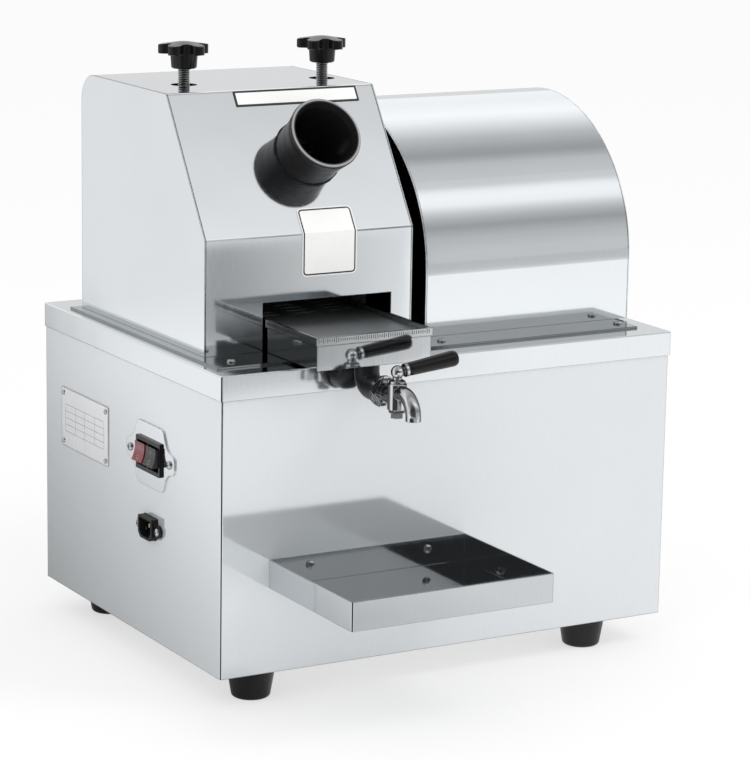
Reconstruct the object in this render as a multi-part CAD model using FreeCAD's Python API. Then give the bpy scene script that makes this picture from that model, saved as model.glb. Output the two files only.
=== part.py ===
import FreeCAD, Part
import math
import os

# Table-top sugarcane juicer, driven by a gear motor.
# Millimetres. X runs to the right, Y to the back and Z up. The origin lies on the
# floor under the middle of the lid.

# ---------------------------------------------------------------- clearances
SEAT_GAP = 0.3      # between a piece and the piece of another body that it rests on
RUN_GAP = 0.05      # radial, between a shaft and its bush
PRESS_GAP = 0.02    # radial, between a bush and its housing
SCREW_GAP = 0.25    # radial, between a screw and its hole
SLIDE_GAP = 0.4     # on each side of a sliding block

# ---------------------------------------------------------------- cabinet
SHEET = 1.2
LID_WIDTH = 500.0
LID_DEPTH = 400.0
SKIRT_HEIGHT = 24.0
CABINET_HEIGHT = 290.0
BEND_RADIUS = 2.0
FLANGE_WIDTH = 14.0
PAN_SHEET = 1.5
PAN_RIM = 18.0
VENT_COLUMNS = 2
VENT_ROWS = 7
VENT_LENGTH = 90.0
VENT_HEIGHT = 5.0
VENT_PITCH = 14.0
VENT_X = 80.0
VENT_Z = 120.0

# ---------------------------------------------------------------- feet
FOOT_HEIGHT = 30.0
FOOT_TOP_RADIUS = 23.5
FOOT_BASE_RADIUS = 19.0
FOOT_EDGE = 4.0
FOOT_RECESS_RADIUS = 8.0
FOOT_RECESS_HEIGHT = 12.0
FOOT_LEFT_INSET = 49.0      # insets are measured from the edges of the lid
FOOT_RIGHT_INSET = 76.0
FOOT_FRONT_INSET = 31.0
FOOT_BACK_INSET = 52.0
FOOT_SCREW_RADIUS = 2.5
FOOT_SCREW_GRIP = 10.0

# ---------------------------------------------------------------- deck plate
DECK_SHEET = 2.0
DECK_LEFT_INSET = 10.0
DECK_RIGHT_INSET = 22.0
DECK_FRONT_INSET = 28.0
DECK_BACK_INSET = 43.0
DECK_MOTOR_BACK_INSET = 3.0
DECK_SCREW_INSET = 19.0
DECK_SCREW_LEFT_INSET = 24.0
DECK_SCREW_MIDDLE = 12.0
DECK_SCREW_RIGHT_INSET = 11.0

# ---------------------------------------------------------------- roller unit
UNIT_X = -105.0
ROLLER_PITCH = 60.0
ROLLER_GAP = 2.0
ROLLER_LENGTH = 135.0
ROLLER_FLUTES = 30
FLUTE_DEPTH = 1.4
MESH_ANGLE = 36.0
JOURNAL_RADIUS = 12.0
BUSH_RADIUS = 17.0
FRAME_THICKNESS = 16.0
FRAME_SIDE_GAP = 0.5
TOP_ROLLER_Y = 19.0
BLOCK_WIDTH = 44.0
BLOCK_ABOVE = 31.0
BLOCK_BELOW = 24.0
LIFT_ROOM = 1.0
CAP_HEIGHT = 14.0
CAP_BOLT_RADIUS = 3.0
CAP_BOLT_INSET = 7.0
CAP_BOLT_DEPTH = 16.0
FRAME_FRONT_Y = -62.0
FRAME_BACK_Y = 100.0
FRAME_SHOULDER_DROP = 52.0
TIE_BAR_RADIUS = 7.0
TIE_SCREW_RADIUS = 4.0
TIE_ABOVE_DECK = 52.0
TIE_INSET = 12.0
CHUTE_BAR_INSET = 8.0
TURNER_RADIUS = 11.0
TURNER_DROP = 36.0
TURNER_GAP = 1.5
FRAME_BOLT_RADIUS = 4.0
FRAME_BOLT_DEPTH = 18.0

# ---------------------------------------------------------------- gears
GEAR_MODULE = 3.0
GEAR_WIDTH = 18.0
GEAR_STANDOFF = 7.0
GEAR_BACKLASH = 0.9     # thins each tooth, so that the gears mesh over the whole lift
PRESSURE_ANGLE = 20.0
FLANK_STEPS = 3
SHAFT_END = 3.0

# ---------------------------------------------------------------- pressure screws
SCREW_RADIUS = 6.0
SCREW_PITCH = 1.75
SCREW_TURNS = 1.0
SCREW_HEAD_RADIUS = 7.5
SCREW_HEAD_HEIGHT = 5.0
SCREW_HEAD_DEPTH = 11.5
KNOB_RADIUS = 25.4
KNOB_LOBES = 5
LOBE_RADIUS = 6.6
KNOB_VALLEY = 14.5
KNOB_BOSS_RADIUS = 13.4
KNOB_BOSS_HEIGHT = 14.0
KNOB_HEAD_HEIGHT = 10.5
KNOB_CROWN = 1.6
KNOB_STANDOFF = 16.0
KNOB_GRIP = 18.0
TOP_HOLE_RADIUS = 12.8

# ---------------------------------------------------------------- roller housing
HOUSING_LEFT = -230.0
HOUSING_RIGHT = -6.0
HOUSING_FRONT = -125.0
HOUSING_BACK = 150.0
HOUSING_HEIGHT = 238.0
CREASE_HEIGHT = 110.0
SLOPE_TOP_Y = -42.0
CREASE_RADIUS = 4.0
REAR_RADIUS = 28.0
MOUTH_LEFT = -168.5
MOUTH_RIGHT = -29.0
MOUTH_HEIGHT = 47.0
OUTLET_HEIGHT = 90.0
SHAFT_HOLE_RADIUS = 20.0

# ---------------------------------------------------------------- feed tube
TUBE_X = -99.0
TUBE_UP_SLOPE = 82.3
TUBE_BORE = 30.0
TUBE_RADIUS = 33.0
TUBE_LENGTH = 46.0
TUBE_INSIDE = 26.0
TUBE_FLARE = 2.6
TUBE_LIP_RADIUS = 36.5
TUBE_LIP_HEIGHT = 5.0
TUBE_LIP_START = -60.0      # degrees, where the rolled edge leaves the wall
TUBE_MOUTH_BEVEL = 2.5
TUBE_FLANGE_RADIUS = 40.5
TUBE_FLANGE_HEIGHT = 3.0

# ---------------------------------------------------------------- residue chute
CHUTE_SHEET = 1.5
CHUTE_FALL = 24.0
CHUTE_REACH = 40.0
CHUTE_WALL = 18.0
CHUTE_ROLLER_GAP = 0.8

# ---------------------------------------------------------------- juice trough
TROUGH_WIDTH = 124.0
TROUGH_OVERHANG = 28.5      # how far the trough stands out past the lid
TROUGH_BACK = 96.0
TROUGH_HEIGHT = 31.5
HEM_HEIGHT = 8.0
STRAINER_DROP = 5.0
STRAINER_GAP = 0.6
STRAINER_ROWS = 12
STRAINER_COLUMNS = 3
STRAINER_SLOT = 24.0
STRAINER_SLOT_HEIGHT = 4.0
STRAINER_MARGIN = 34.0

# ---------------------------------------------------------------- drain and tap
DRAIN_INSET = 15.2
DRAIN_RADIUS = 5.5
DRAIN_NUT_RADIUS = 9.0
DRAIN_NUT_HEIGHT = 5.0
ELBOW_RADIUS = 12.0
ELBOW_BORE = 7.0
ELBOW_BEND = 13.0
TAP_REACH = 41.5
TAP_AXIS_DROP = 20.5
TAP_FLANGE_RADIUS = 15.0
TAP_FLANGE_LENGTH = 4.5
TAP_NUT_LENGTH = 4.0
TAP_NECK = 8.0
TAP_INLET_RADIUS = 8.0
TAP_SPIGOT = 4.0
BARREL_RADIUS = 9.0
BARREL_ABOVE = 13.0
BARREL_BELOW = 13.5
PLUG_RADIUS = 6.0
PLUG_BALL_RADIUS = 6.3
PLUG_BALL_HEIGHT = 23.0
SPOUT_RADIUS = 7.2
SPOUT_BORE = 4.5
SPOUT_BEND = 18.5
SPOUT_START = 11.5
SPOUT_TIP = 3.0
SPOUT_RISE = 4.5
TAIL_NUT_RADIUS = 5.5
TAIL_NUT_HEIGHT = 6.0
LEVER_RISE = 8.0
LEVER_LENGTH = 63.0
LEVER_COLLAR = 10.0
LEVER_COLLAR_RADIUS = 6.3
LEVER_ROOT_RADIUS = 5.7
LEVER_END_RADIUS = 7.6

# ---------------------------------------------------------------- drip tray
TRAY_LEFT = -198.0
TRAY_RIGHT = 16.0
TRAY_REACH = 157.0
TRAY_FLOOR = 83.0
TRAY_HEIGHT = 27.5
TRAY_SCREW_INSET = 43.0
TRAY_SCREW_DROP = 10.0

# ---------------------------------------------------------------- motor cover
COVER_LEFT = 7.0
COVER_RIGHT = 244.5
COVER_Y = 32.0
COVER_HALF = 162.0
COVER_HEIGHT = 214.0
COVER_SHOULDER = 16.0       # from the middle to the centre of each side's arc
COVER_CROWN_EXTRA = 20.0    # the crown's radius over that of the sides
COVER_VENT_COUNT = 8
COVER_VENT_LENGTH = 60.0

# ---------------------------------------------------------------- gear motor
COUPLING_RADIUS = 24.0
COUPLING_HUB = 17.0
COUPLING_JAW = 7.0
COUPLING_GAP = 6.0
COUPLING_JAWS = 3
COUPLING_JAW_ANGLE = 44.0
OUTPUT_SHAFT_RADIUS = 11.0
GEARBOX_LEFT = 72.0
GEARBOX_LENGTH = 58.0
GEARBOX_HALF = 52.0
GEARBOX_FOOT = 12.0
GEARBOX_FOOT_REACH = 22.0
GEARBOX_BOLT_RADIUS = 4.0
GEARBOX_SEAL_RADIUS = 26.0
MOTOR_RADIUS = 56.0
MOTOR_LENGTH = 92.0
MOTOR_FIN_COUNT = 24
MOTOR_FIN_DEPTH = 4.0
MOTOR_FLANGE = 8.0
MOTOR_CAP_LENGTH = 10.0

# ---------------------------------------------------------------- power switch
SWITCH_Y = -49.6
SWITCH_Z = 213.2
SWITCH_PLATE = 1.5
SWITCH_PLATE_HALF_HEIGHT = 31.0
SWITCH_PLATE_HALF_WIDTH = 28.0
SWITCH_EAR = 53.0
SWITCH_EAR_HALF_HEIGHT = 8.0
SWITCH_SCREW_HALF = 43.0
BEZEL_HALF_WIDTH = 26.4
BEZEL_HALF_HEIGHT = 16.5
BEZEL_PROUD = 2.4
BEZEL_DEPTH = 24.0
BEZEL_SIDE_RIM = 3.2
BEZEL_TOP_RIM = 4.2
CASE_INSET = 1.6
CASE_FLOOR = 3.0
ROCKER_DIVIDER = 2.4
ROCKER_GAP = 0.5
ROCKER_FACE = 10.0          # from the pivot to the rocker's face
ROCKER_REACH = 9.8          # from the middle of the face to its end
ROCKER_KEEL = 5.0
ROCKER_DISH = 30.0
ROCKER_TILT = 23.0
ROCKER_PIVOT_DEPTH = 1.0
ROCKER_PIN_RADIUS = 2.0
ROCKER_PIN_BITE = 1.5

# ---------------------------------------------------------------- power inlet
INLET_Y = -49.5
INLET_Z = 141.8
INLET_PROUD = 7.0
INLET_HALF_WIDTH = 15.0
INLET_HALF_HEIGHT = 11.0
INLET_WALL = 2.2
INLET_SOCKET_DEPTH = 16.0
INLET_BODY_DEPTH = 22.0
INLET_CORNER = 5.0
INLET_BOSS_THICKNESS = 3.0
INLET_BOSS_RADIUS = 6.0
INLET_SCREW_HALF = 20.0
PIN_WIDTH = 4.0
PIN_THICKNESS = 2.0
PIN_SPREAD = 7.0
PIN_OFFSET = 2.0
PIN_LENGTH = 11.0

# ---------------------------------------------------------------- small screws
PAN_HEAD_RADIUS = 4.2
PAN_HEAD_HEIGHT = 2.6
PAN_SHANK_RADIUS = 2.0
PAN_SHANK_LENGTH = 9.0

# ---------------------------------------------------------------- worked out
PAN_Z = FOOT_HEIGHT
LID_TOP = PAN_Z + CABINET_HEIGHT
LID_UNDER = LID_TOP - SHEET
DECK_TOP = LID_TOP + DECK_SHEET
LID_FRONT = -LID_DEPTH / 2
DECK_LEFT = -LID_WIDTH / 2 + DECK_LEFT_INSET
DECK_RIGHT = LID_WIDTH / 2 - DECK_RIGHT_INSET
DECK_FRONT = LID_FRONT + DECK_FRONT_INSET
DECK_BACK = LID_DEPTH / 2 - DECK_BACK_INSET
DECK_MOTOR_BACK = LID_DEPTH / 2 - DECK_MOTOR_BACK_INSET
SHELL_X = LID_WIDTH / 2 - SHEET - SEAT_GAP
SHELL_Y = LID_DEPTH / 2 - SHEET - SEAT_GAP
HOUSING_TOP = DECK_TOP + HOUSING_HEIGHT
CREASE_Z = DECK_TOP + CREASE_HEIGHT
ROLLER_RADIUS = (ROLLER_PITCH - ROLLER_GAP) / 2
FRAME_INNER = ROLLER_LENGTH / 2 + FRAME_SIDE_GAP
FRAME_OUTER = FRAME_INNER + FRAME_THICKNESS
SCREW_X = FRAME_INNER + FRAME_THICKNESS / 2
SLOPE = math.atan2(SLOPE_TOP_Y - HOUSING_FRONT, HOUSING_TOP - CREASE_Z)
TUBE_Y = HOUSING_FRONT + TUBE_UP_SLOPE * math.sin(SLOPE)
TUBE_Z = CREASE_Z + TUBE_UP_SLOPE * math.cos(SLOPE)
TUBE_OUT = FreeCAD.Vector(0, -math.cos(SLOPE), math.sin(SLOPE))
MESH = math.radians(MESH_ANGLE)
NIP_Y = TOP_ROLLER_Y - ROLLER_PITCH / 2 * math.sin(MESH)
NIP_Z = TUBE_Z - (NIP_Y - TUBE_Y) * math.tan(SLOPE)
TOP_ROLLER_Z = NIP_Z + ROLLER_PITCH / 2 * math.cos(MESH)
LOW_ROLLER_Z = NIP_Z - ROLLER_PITCH / 2 * math.cos(MESH)
FRONT_ROLLER_Y = TOP_ROLLER_Y - ROLLER_PITCH * math.sin(MESH)
REAR_ROLLER_Y = TOP_ROLLER_Y + ROLLER_PITCH * math.sin(MESH)
SLOT_BOTTOM = TOP_ROLLER_Z - BLOCK_BELOW - SEAT_GAP
BLOCK_TOP = TOP_ROLLER_Z + BLOCK_ABOVE
ROLLER_LIFT = SCREW_PITCH * SCREW_TURNS
FRAME_TOP = BLOCK_TOP + ROLLER_LIFT + LIFT_ROOM
FRAME_SHOULDER = FRAME_TOP - FRAME_SHOULDER_DROP
GEAR_RIGHT = UNIT_X - FRAME_OUTER - GEAR_STANDOFF
GEAR_LEFT = GEAR_RIGHT - GEAR_WIDTH
GEAR_TEETH = round(ROLLER_PITCH / GEAR_MODULE)
KNOB_BASE = HOUSING_TOP + KNOB_STANDOFF
TROUGH_FLOOR = DECK_TOP + SEAT_GAP
TROUGH_HALF = TROUGH_WIDTH / 2
TROUGH_FRONT = LID_FRONT - TROUGH_OVERHANG
DRAIN_Y = TROUGH_FRONT + DRAIN_INSET
TAP_AXIS_Y = TROUGH_FRONT - TAP_REACH
TRAY_FRONT = LID_FRONT - TRAY_REACH
STRAINER_TOP = TROUGH_FLOOR + TROUGH_HEIGHT - STRAINER_DROP
TAP_Z = TROUGH_FLOOR - TAP_AXIS_DROP
COUPLING_LEFT = COVER_LEFT + SHEET + 6 * SEAT_GAP
COUPLING_LENGTH = 2 * COUPLING_HUB + COUPLING_GAP + 2 * COUPLING_JAW
MOTOR_LEFT = GEARBOX_LEFT + GEARBOX_LENGTH
COVER_CORNER = COVER_HALF - COVER_SHOULDER
COVER_CROWN = COVER_CORNER + COVER_CROWN_EXTRA
WALL_X = -SHELL_X
ROCKER_WIDTH = BEZEL_HALF_WIDTH - BEZEL_SIDE_RIM - ROCKER_DIVIDER / 2 - 2 * ROCKER_GAP
ROCKER_OFFSET = (ROCKER_DIVIDER + ROCKER_WIDTH) / 2 + ROCKER_GAP
ROCKER_PIVOT_X = WALL_X + ROCKER_PIVOT_DEPTH

Vector = FreeCAD.Vector
X_AXIS = Vector(1, 0, 0)
Y_AXIS = Vector(0, 1, 0)
Z_AXIS = Vector(0, 0, 1)
CUT = 5.0           # how far a cutting shape runs past the piece that it cuts


# ---------------------------------------------------------------- basic shapes
def box(x0, x1, y0, y1, z0, z1):
    return Part.makeBox(x1 - x0, y1 - y0, z1 - z0, Vector(x0, y0, z0))


def rod(start, axis, length, radius):
    return Part.makeCylinder(radius, length, start, axis)


def tube(start, axis, length, outer, inner):
    core = Part.makeCylinder(inner, length + 2 * CUT, start - axis * CUT, axis)
    return rod(start, axis, length, outer).cut(core)


def rounded_wire(points, radii, place):
    """Closed wire through 2D points, with each corner rounded by its radius."""
    corners = [Vector(u, v, 0) for u, v in points]
    ends = []
    edges = []
    for index, here in enumerate(corners):
        back = (corners[index - 1] - here).normalize()
        ahead = (corners[(index + 1) % len(corners)] - here).normalize()
        radius = radii[index]
        if radius <= 0:
            ends.append((here, here))
            continue
        half = back.getAngle(ahead) / 2
        middle = (back + ahead).normalize()
        centre = here + middle * (radius / math.sin(half))
        first = here + back * (radius / math.tan(half))
        last = here + ahead * (radius / math.tan(half))
        arc = Part.Arc(place(first), place(centre - middle * radius), place(last))
        edges.append(arc.toShape())
        ends.append((first, last))
    for index, pair in enumerate(ends):
        start = ends[index - 1][1]
        if (start - pair[0]).Length > 1e-6:
            edges.append(Part.LineSegment(place(start), place(pair[0])).toShape())
    return Part.Wire(Part.__sortEdges__(edges))


def prism_x(points, radii, x0, x1):
    wire = rounded_wire(points, radii, lambda p: Vector(x0, p.x, p.y))
    return Part.Face(wire).extrude(Vector(x1 - x0, 0, 0))


def prism_y(points, radii, y0, y1):
    wire = rounded_wire(points, radii, lambda p: Vector(p.x, y0, p.y))
    return Part.Face(wire).extrude(Vector(0, y1 - y0, 0))


def prism_z(points, radii, z0, z1):
    wire = rounded_wire(points, radii, lambda p: Vector(p.x, p.y, z0))
    return Part.Face(wire).extrude(Vector(0, 0, z1 - z0))


def rectangle(u0, u1, v0, v1):
    return [(u0, v0), (u1, v0), (u1, v1), (u0, v1)]


def inset(points, distances):
    """Polygon with each edge moved inwards by its distance."""
    lines = []
    for index, (u, v) in enumerate(points):
        nu, nv = points[(index + 1) % len(points)]
        length = math.hypot(nu - u, nv - v)
        normal = (-(nv - v) / length, (nu - u) / length)
        offset = normal[0] * u + normal[1] * v + distances[index]
        lines.append((normal, offset))
    moved = []
    for index, (normal, offset) in enumerate(lines):
        before, before_offset = lines[index - 1]
        scale = before[0] * normal[1] - before[1] * normal[0]
        u = (before_offset * normal[1] - offset * before[1]) / scale
        v = (before[0] * offset - normal[0] * before_offset) / scale
        moved.append((u, v))
    return moved


def turned(profile, start, axis):
    """Solid of revolution; profile holds (radius, height) pairs from start along axis."""
    wire = Part.makePolygon([Vector(r, 0, h) for r, h in profile + profile[:1]])
    solid = Part.Face(wire).revolve(Vector(0, 0, 0), Z_AXIS, 360)
    solid.Placement = FreeCAD.Placement(start, FreeCAD.Rotation(Z_AXIS, axis))
    return solid


def arc_profile(centre_r, centre_h, radius, first, last, steps):
    """Points of a round stretch of a turned profile, angles in degrees."""
    points = []
    for step in range(steps + 1):
        angle = math.radians(first + (last - first) * step / steps)
        points.append((centre_r + radius * math.cos(angle), centre_h + radius * math.sin(angle)))
    return points


def hexagon(start, axis, length, radius):
    """Hexagonal bar; radius is to its flats."""
    corner = radius / math.cos(math.pi / 6)
    ring = [Vector(corner * math.cos(k * math.pi / 3), corner * math.sin(k * math.pi / 3), 0)
            for k in range(7)]
    solid = Part.Face(Part.makePolygon(ring)).extrude(Vector(0, 0, length))
    solid.Placement = FreeCAD.Placement(start, FreeCAD.Rotation(Z_AXIS, axis))
    return solid


def pan_screw(seat, outward, shank=PAN_SHANK_LENGTH):
    """Pan-head screw whose head stands on seat, facing outward."""
    crown = arc_profile(0, -PAN_HEAD_HEIGHT, 2 * PAN_HEAD_HEIGHT, 38, 90, 3)
    crown = [(min(r, PAN_HEAD_RADIUS), h) for r, h in crown]
    profile = [(0, -shank), (PAN_SHANK_RADIUS, -shank), (PAN_SHANK_RADIUS, 0), (PAN_HEAD_RADIUS, 0)]
    return turned(profile + crown, seat, outward)


def hex_bolt(seat, outward, radius, shank):
    """Hexagon-head bolt whose head stands on seat."""
    head = hexagon(seat, outward, 1.3 * radius, 1.6 * radius)
    return head.fuse(rod(seat - outward * shank, outward, shank, radius))


def add(node, *solids):
    pieces[node] = solids[0] if len(solids) == 1 else Part.makeCompound(list(solids))


# ---------------------------------------------------------------- cabinet
def deck_screw_seats():
    y = DECK_FRONT + DECK_SCREW_INSET
    xs = (DECK_LEFT + DECK_SCREW_LEFT_INSET, DECK_SCREW_MIDDLE, DECK_RIGHT - DECK_SCREW_RIGHT_INSET)
    return [Vector(x, y, DECK_TOP) for x in xs]


def frame_bolt_spots():
    ys = (FRAME_FRONT_Y + 2 * TIE_INSET, FRAME_BACK_Y - 2 * TIE_INSET)
    return [(UNIT_X + side * SCREW_X, y) for side in (-1, 1) for y in ys]


def gearbox_bolt_spots():
    reach = GEARBOX_HALF + GEARBOX_FOOT_REACH / 2
    xs = (GEARBOX_LEFT + GEARBOX_FOOT, GEARBOX_LEFT + GEARBOX_LENGTH - GEARBOX_FOOT)
    return [(x, REAR_ROLLER_Y + side * reach) for x in xs for side in (-1, 1)]


def bolt_holes(z0, z1):
    holes = [rod(Vector(p.x, p.y, z0), Z_AXIS, z1 - z0, PAN_SHANK_RADIUS + SCREW_GAP)
             for p in deck_screw_seats()]
    holes += [rod(Vector(x, y, z0), Z_AXIS, z1 - z0, FRAME_BOLT_RADIUS + SCREW_GAP)
              for x, y in frame_bolt_spots()]
    holes += [rod(Vector(x, y, z0), Z_AXIS, z1 - z0, GEARBOX_BOLT_RADIUS + SCREW_GAP)
              for x, y in gearbox_bolt_spots()]
    return Part.makeCompound(holes)


def cabinet_shell():
    """Front and side walls folded from one sheet, with returns at the top and the back."""
    corner = [BEND_RADIUS, BEND_RADIUS, 0, 0]
    outer = rectangle(-SHELL_X, SHELL_X, -SHELL_Y, SHELL_Y)
    hollow = inset(outer, [SHEET, SHEET, -CUT, SHEET])
    inner_corner = [BEND_RADIUS - SHEET, BEND_RADIUS - SHEET, 0, 0]
    walls = prism_z(outer, corner, PAN_Z, LID_UNDER)
    walls = walls.cut(prism_z(hollow, inner_corner, PAN_Z - CUT, LID_UNDER + CUT))
    top = prism_z(outer, corner, LID_UNDER - SHEET, LID_UNDER)
    window = inset(outer, [FLANGE_WIDTH, FLANGE_WIDTH, -CUT, FLANGE_WIDTH])
    top = top.cut(prism_z(window, [0, 0, 0, 0], LID_UNDER - CUT, LID_UNDER + CUT))
    panel_inner = SHELL_Y - SHEET - SEAT_GAP
    rear = box(-SHELL_X, SHELL_X, panel_inner - 2 * SHEET, panel_inner - SHEET, PAN_Z + PAN_RIM + 1,
               LID_UNDER)
    rear = rear.cut(box(FLANGE_WIDTH - SHELL_X, SHELL_X - FLANGE_WIDTH, 0, SHELL_Y + CUT, 0, LID_TOP))
    shell = walls.fuse([top, rear]).removeSplitter()
    return shell.cut(Part.makeCompound(cabinet_wall_holes()))


def cabinet_wall_holes():
    holes = [switch_window(WALL_X - CUT, WALL_X + CUT, SCREW_GAP)]
    inlet = inlet_outline(SEAT_GAP)
    holes.append(prism_x(inlet[0], inlet[1], WALL_X - CUT, WALL_X + CUT))
    for half, y, z in ((SWITCH_SCREW_HALF, SWITCH_Y, SWITCH_Z), (INLET_SCREW_HALF, INLET_Y, INLET_Z)):
        for side in (-1, 1):
            seat = Vector(WALL_X - CUT, y + side * half, z)
            holes.append(rod(seat, X_AXIS, 2 * CUT, PAN_SHANK_RADIUS + SCREW_GAP))
    for seat in tray_screw_seats():
        holes.append(rod(seat - Y_AXIS * CUT, Y_AXIS, 3 * CUT, PAN_SHANK_RADIUS + SCREW_GAP))
    return holes


def back_panel():
    """Rear service panel with ventilation slots, lying on the shell's rear returns."""
    half = SHELL_X - SHEET - SEAT_GAP
    back = SHELL_Y - SEAT_GAP
    panel = box(-half, half, back - SHEET, back,
                PAN_Z + SEAT_GAP, LID_UNDER - SHEET - SEAT_GAP)
    slots = []
    for column in range(VENT_COLUMNS):
        x = (column - (VENT_COLUMNS - 1) / 2) * 2 * VENT_X
        for row in range(VENT_ROWS):
            z = VENT_Z + row * VENT_PITCH
            outline = rectangle(x - VENT_LENGTH / 2, x + VENT_LENGTH / 2, z, z + VENT_HEIGHT)
            radius = VENT_HEIGHT * 0.49
            slots.append(prism_y(outline, [radius] * 4, back - CUT, back + CUT))
    return panel.cut(Part.makeCompound(slots))


def base_pan():
    """Floor of the cabinet with upturned rims, carried by the feet."""
    half_x = SHELL_X - SHEET - SEAT_GAP
    half_y = SHELL_Y - SHEET - SEAT_GAP
    back = half_y - 3 * SHEET - SEAT_GAP
    pan = box(-half_x, half_x, -half_y, back, PAN_Z, PAN_Z + PAN_RIM)
    pan = pan.cut(box(PAN_SHEET - half_x, half_x - PAN_SHEET, PAN_SHEET - half_y, back - PAN_SHEET,
                      PAN_Z + PAN_SHEET, LID_TOP))
    holes = [rod(Vector(x, y, PAN_Z - CUT), Z_AXIS, 3 * CUT, FOOT_SCREW_RADIUS + SCREW_GAP)
             for x, y in foot_spots()]
    return pan.cut(Part.makeCompound(holes))


def foot_spots():
    xs = (-LID_WIDTH / 2 + FOOT_LEFT_INSET, LID_WIDTH / 2 - FOOT_RIGHT_INSET)
    ys = (LID_FRONT + FOOT_FRONT_INSET, LID_DEPTH / 2 - FOOT_BACK_INSET)
    return [(x, y) for y in ys for x in xs]


def rubber_foot(x, y):
    """Tapered rubber foot, recessed from below for its screw."""
    hole = FOOT_SCREW_RADIUS + SCREW_GAP
    edge = arc_profile(FOOT_BASE_RADIUS - FOOT_EDGE, FOOT_EDGE, FOOT_EDGE, -90, -15, 4)
    profile = [(hole, FOOT_RECESS_HEIGHT), (FOOT_RECESS_RADIUS, FOOT_RECESS_HEIGHT), (FOOT_RECESS_RADIUS, 0)]
    profile += edge
    profile += [(FOOT_TOP_RADIUS, PAN_Z), (hole, PAN_Z)]
    return turned(profile, Vector(x, y, 0), Z_AXIS)


def foot_screw(x, y):
    seat = FOOT_RECESS_HEIGHT
    length = PAN_Z - seat + FOOT_SCREW_GRIP
    head = FOOT_SCREW_RADIUS * 2
    profile = [(0, 0), (FOOT_SCREW_RADIUS, 0), (FOOT_SCREW_RADIUS, length), (head, length),
               (head, length + 2), (head - 1, length + 3.5), (0, length + 4)]
    return turned(profile, Vector(x, y, seat + length), Z_AXIS * -1)


def lid():
    """Cabinet lid with a turned-down skirt."""
    outer = prism_z(rectangle(-LID_WIDTH / 2, LID_WIDTH / 2, -LID_DEPTH / 2, LID_DEPTH / 2),
                    [BEND_RADIUS] * 4, LID_TOP - SKIRT_HEIGHT, LID_TOP)
    top_edges = [e for e in outer.Edges if e.BoundBox.ZMin > LID_TOP - SHEET]
    outer = outer.makeFillet(SHEET, top_edges)
    half_x = LID_WIDTH / 2 - SHEET
    half_y = LID_DEPTH / 2 - SHEET
    hollow = box(-half_x, half_x, -half_y, half_y, LID_TOP - SKIRT_HEIGHT - CUT, LID_UNDER)
    return outer.cut(hollow).cut(bolt_holes(LID_UNDER - CUT, LID_TOP + CUT))


def deck_plate():
    """Mounting plate on the lid, longer at the back under the motor."""
    plate = box(DECK_LEFT, DECK_RIGHT, DECK_FRONT, DECK_BACK, LID_TOP, DECK_TOP)
    plate = plate.fuse(box(0, DECK_RIGHT, 0, DECK_MOTOR_BACK, LID_TOP, DECK_TOP)).removeSplitter()
    return plate.cut(bolt_holes(LID_TOP - CUT, DECK_TOP + CUT))


# ---------------------------------------------------------------- roller unit
def roller_positions():
    return {"front": (FRONT_ROLLER_Y, LOW_ROLLER_Z), "rear": (REAR_ROLLER_Y, LOW_ROLLER_Z),
            "top": (TOP_ROLLER_Y, TOP_ROLLER_Z)}


def frame_outline():
    return [(FRAME_FRONT_Y, DECK_TOP), (FRAME_BACK_Y, DECK_TOP), (FRAME_BACK_Y, FRAME_SHOULDER),
            (TOP_ROLLER_Y + BLOCK_WIDTH, FRAME_TOP), (TOP_ROLLER_Y - BLOCK_WIDTH, FRAME_TOP),
            (FRAME_FRONT_Y, FRAME_SHOULDER)]


def tie_bar_spots():
    chute_y = FRAME_BACK_Y - CHUTE_BAR_INSET
    below_chute = (TIE_BAR_RADIUS + SEAT_GAP) / math.cos(math.radians(CHUTE_FALL))
    low = DECK_TOP + TIE_ABOVE_DECK
    return [(FRAME_FRONT_Y + TIE_INSET, low), (FRAME_BACK_Y - TIE_INSET, low),
            (chute_y, chute_underside(chute_y) - below_chute)]


def roller_frame(side):
    """Side plate: two bush holes and an open slot for the sliding bearing block."""
    inner = UNIT_X + side * FRAME_INNER
    outer = UNIT_X + side * FRAME_OUTER
    x0, x1 = min(inner, outer), max(inner, outer)
    plate = prism_x(frame_outline(), [0, 0, 8, 8, 8, 8], x0, x1)
    half_slot = BLOCK_WIDTH / 2 + SLIDE_GAP
    cuts = [box(x0 - CUT, x1 + CUT, TOP_ROLLER_Y - half_slot, TOP_ROLLER_Y + half_slot,
                SLOT_BOTTOM, FRAME_TOP + CUT)]
    for name in ("front", "rear"):
        y, z = roller_positions()[name]
        cuts.append(rod(Vector(x0 - CUT, y, z), X_AXIS, x1 - x0 + 2 * CUT, BUSH_RADIUS + PRESS_GAP))
    for y, z in tie_bar_spots():
        cuts.append(rod(Vector(x0 - CUT, y, z), X_AXIS, x1 - x0 + 2 * CUT, TIE_SCREW_RADIUS + SCREW_GAP))
    for x, y in frame_bolt_spots():
        cuts.append(rod(Vector(x, y, DECK_TOP - CUT), Z_AXIS, FRAME_BOLT_DEPTH + CUT,
                        FRAME_BOLT_RADIUS + SCREW_GAP))
    for seat in cap_bolt_seats(side):
        cuts.append(rod(seat - Z_AXIS * (CAP_HEIGHT + CAP_BOLT_DEPTH), Z_AXIS,
                        CAP_HEIGHT + CAP_BOLT_DEPTH, CAP_BOLT_RADIUS + SCREW_GAP))
    return plate.cut(Part.makeCompound(cuts))


def cap_bolt_seats(side):
    x = UNIT_X + side * SCREW_X
    reach = BLOCK_WIDTH - CAP_BOLT_INSET - 3
    return [Vector(x, TOP_ROLLER_Y + way * reach, FRAME_TOP + CAP_HEIGHT) for way in (-1, 1)]


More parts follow.
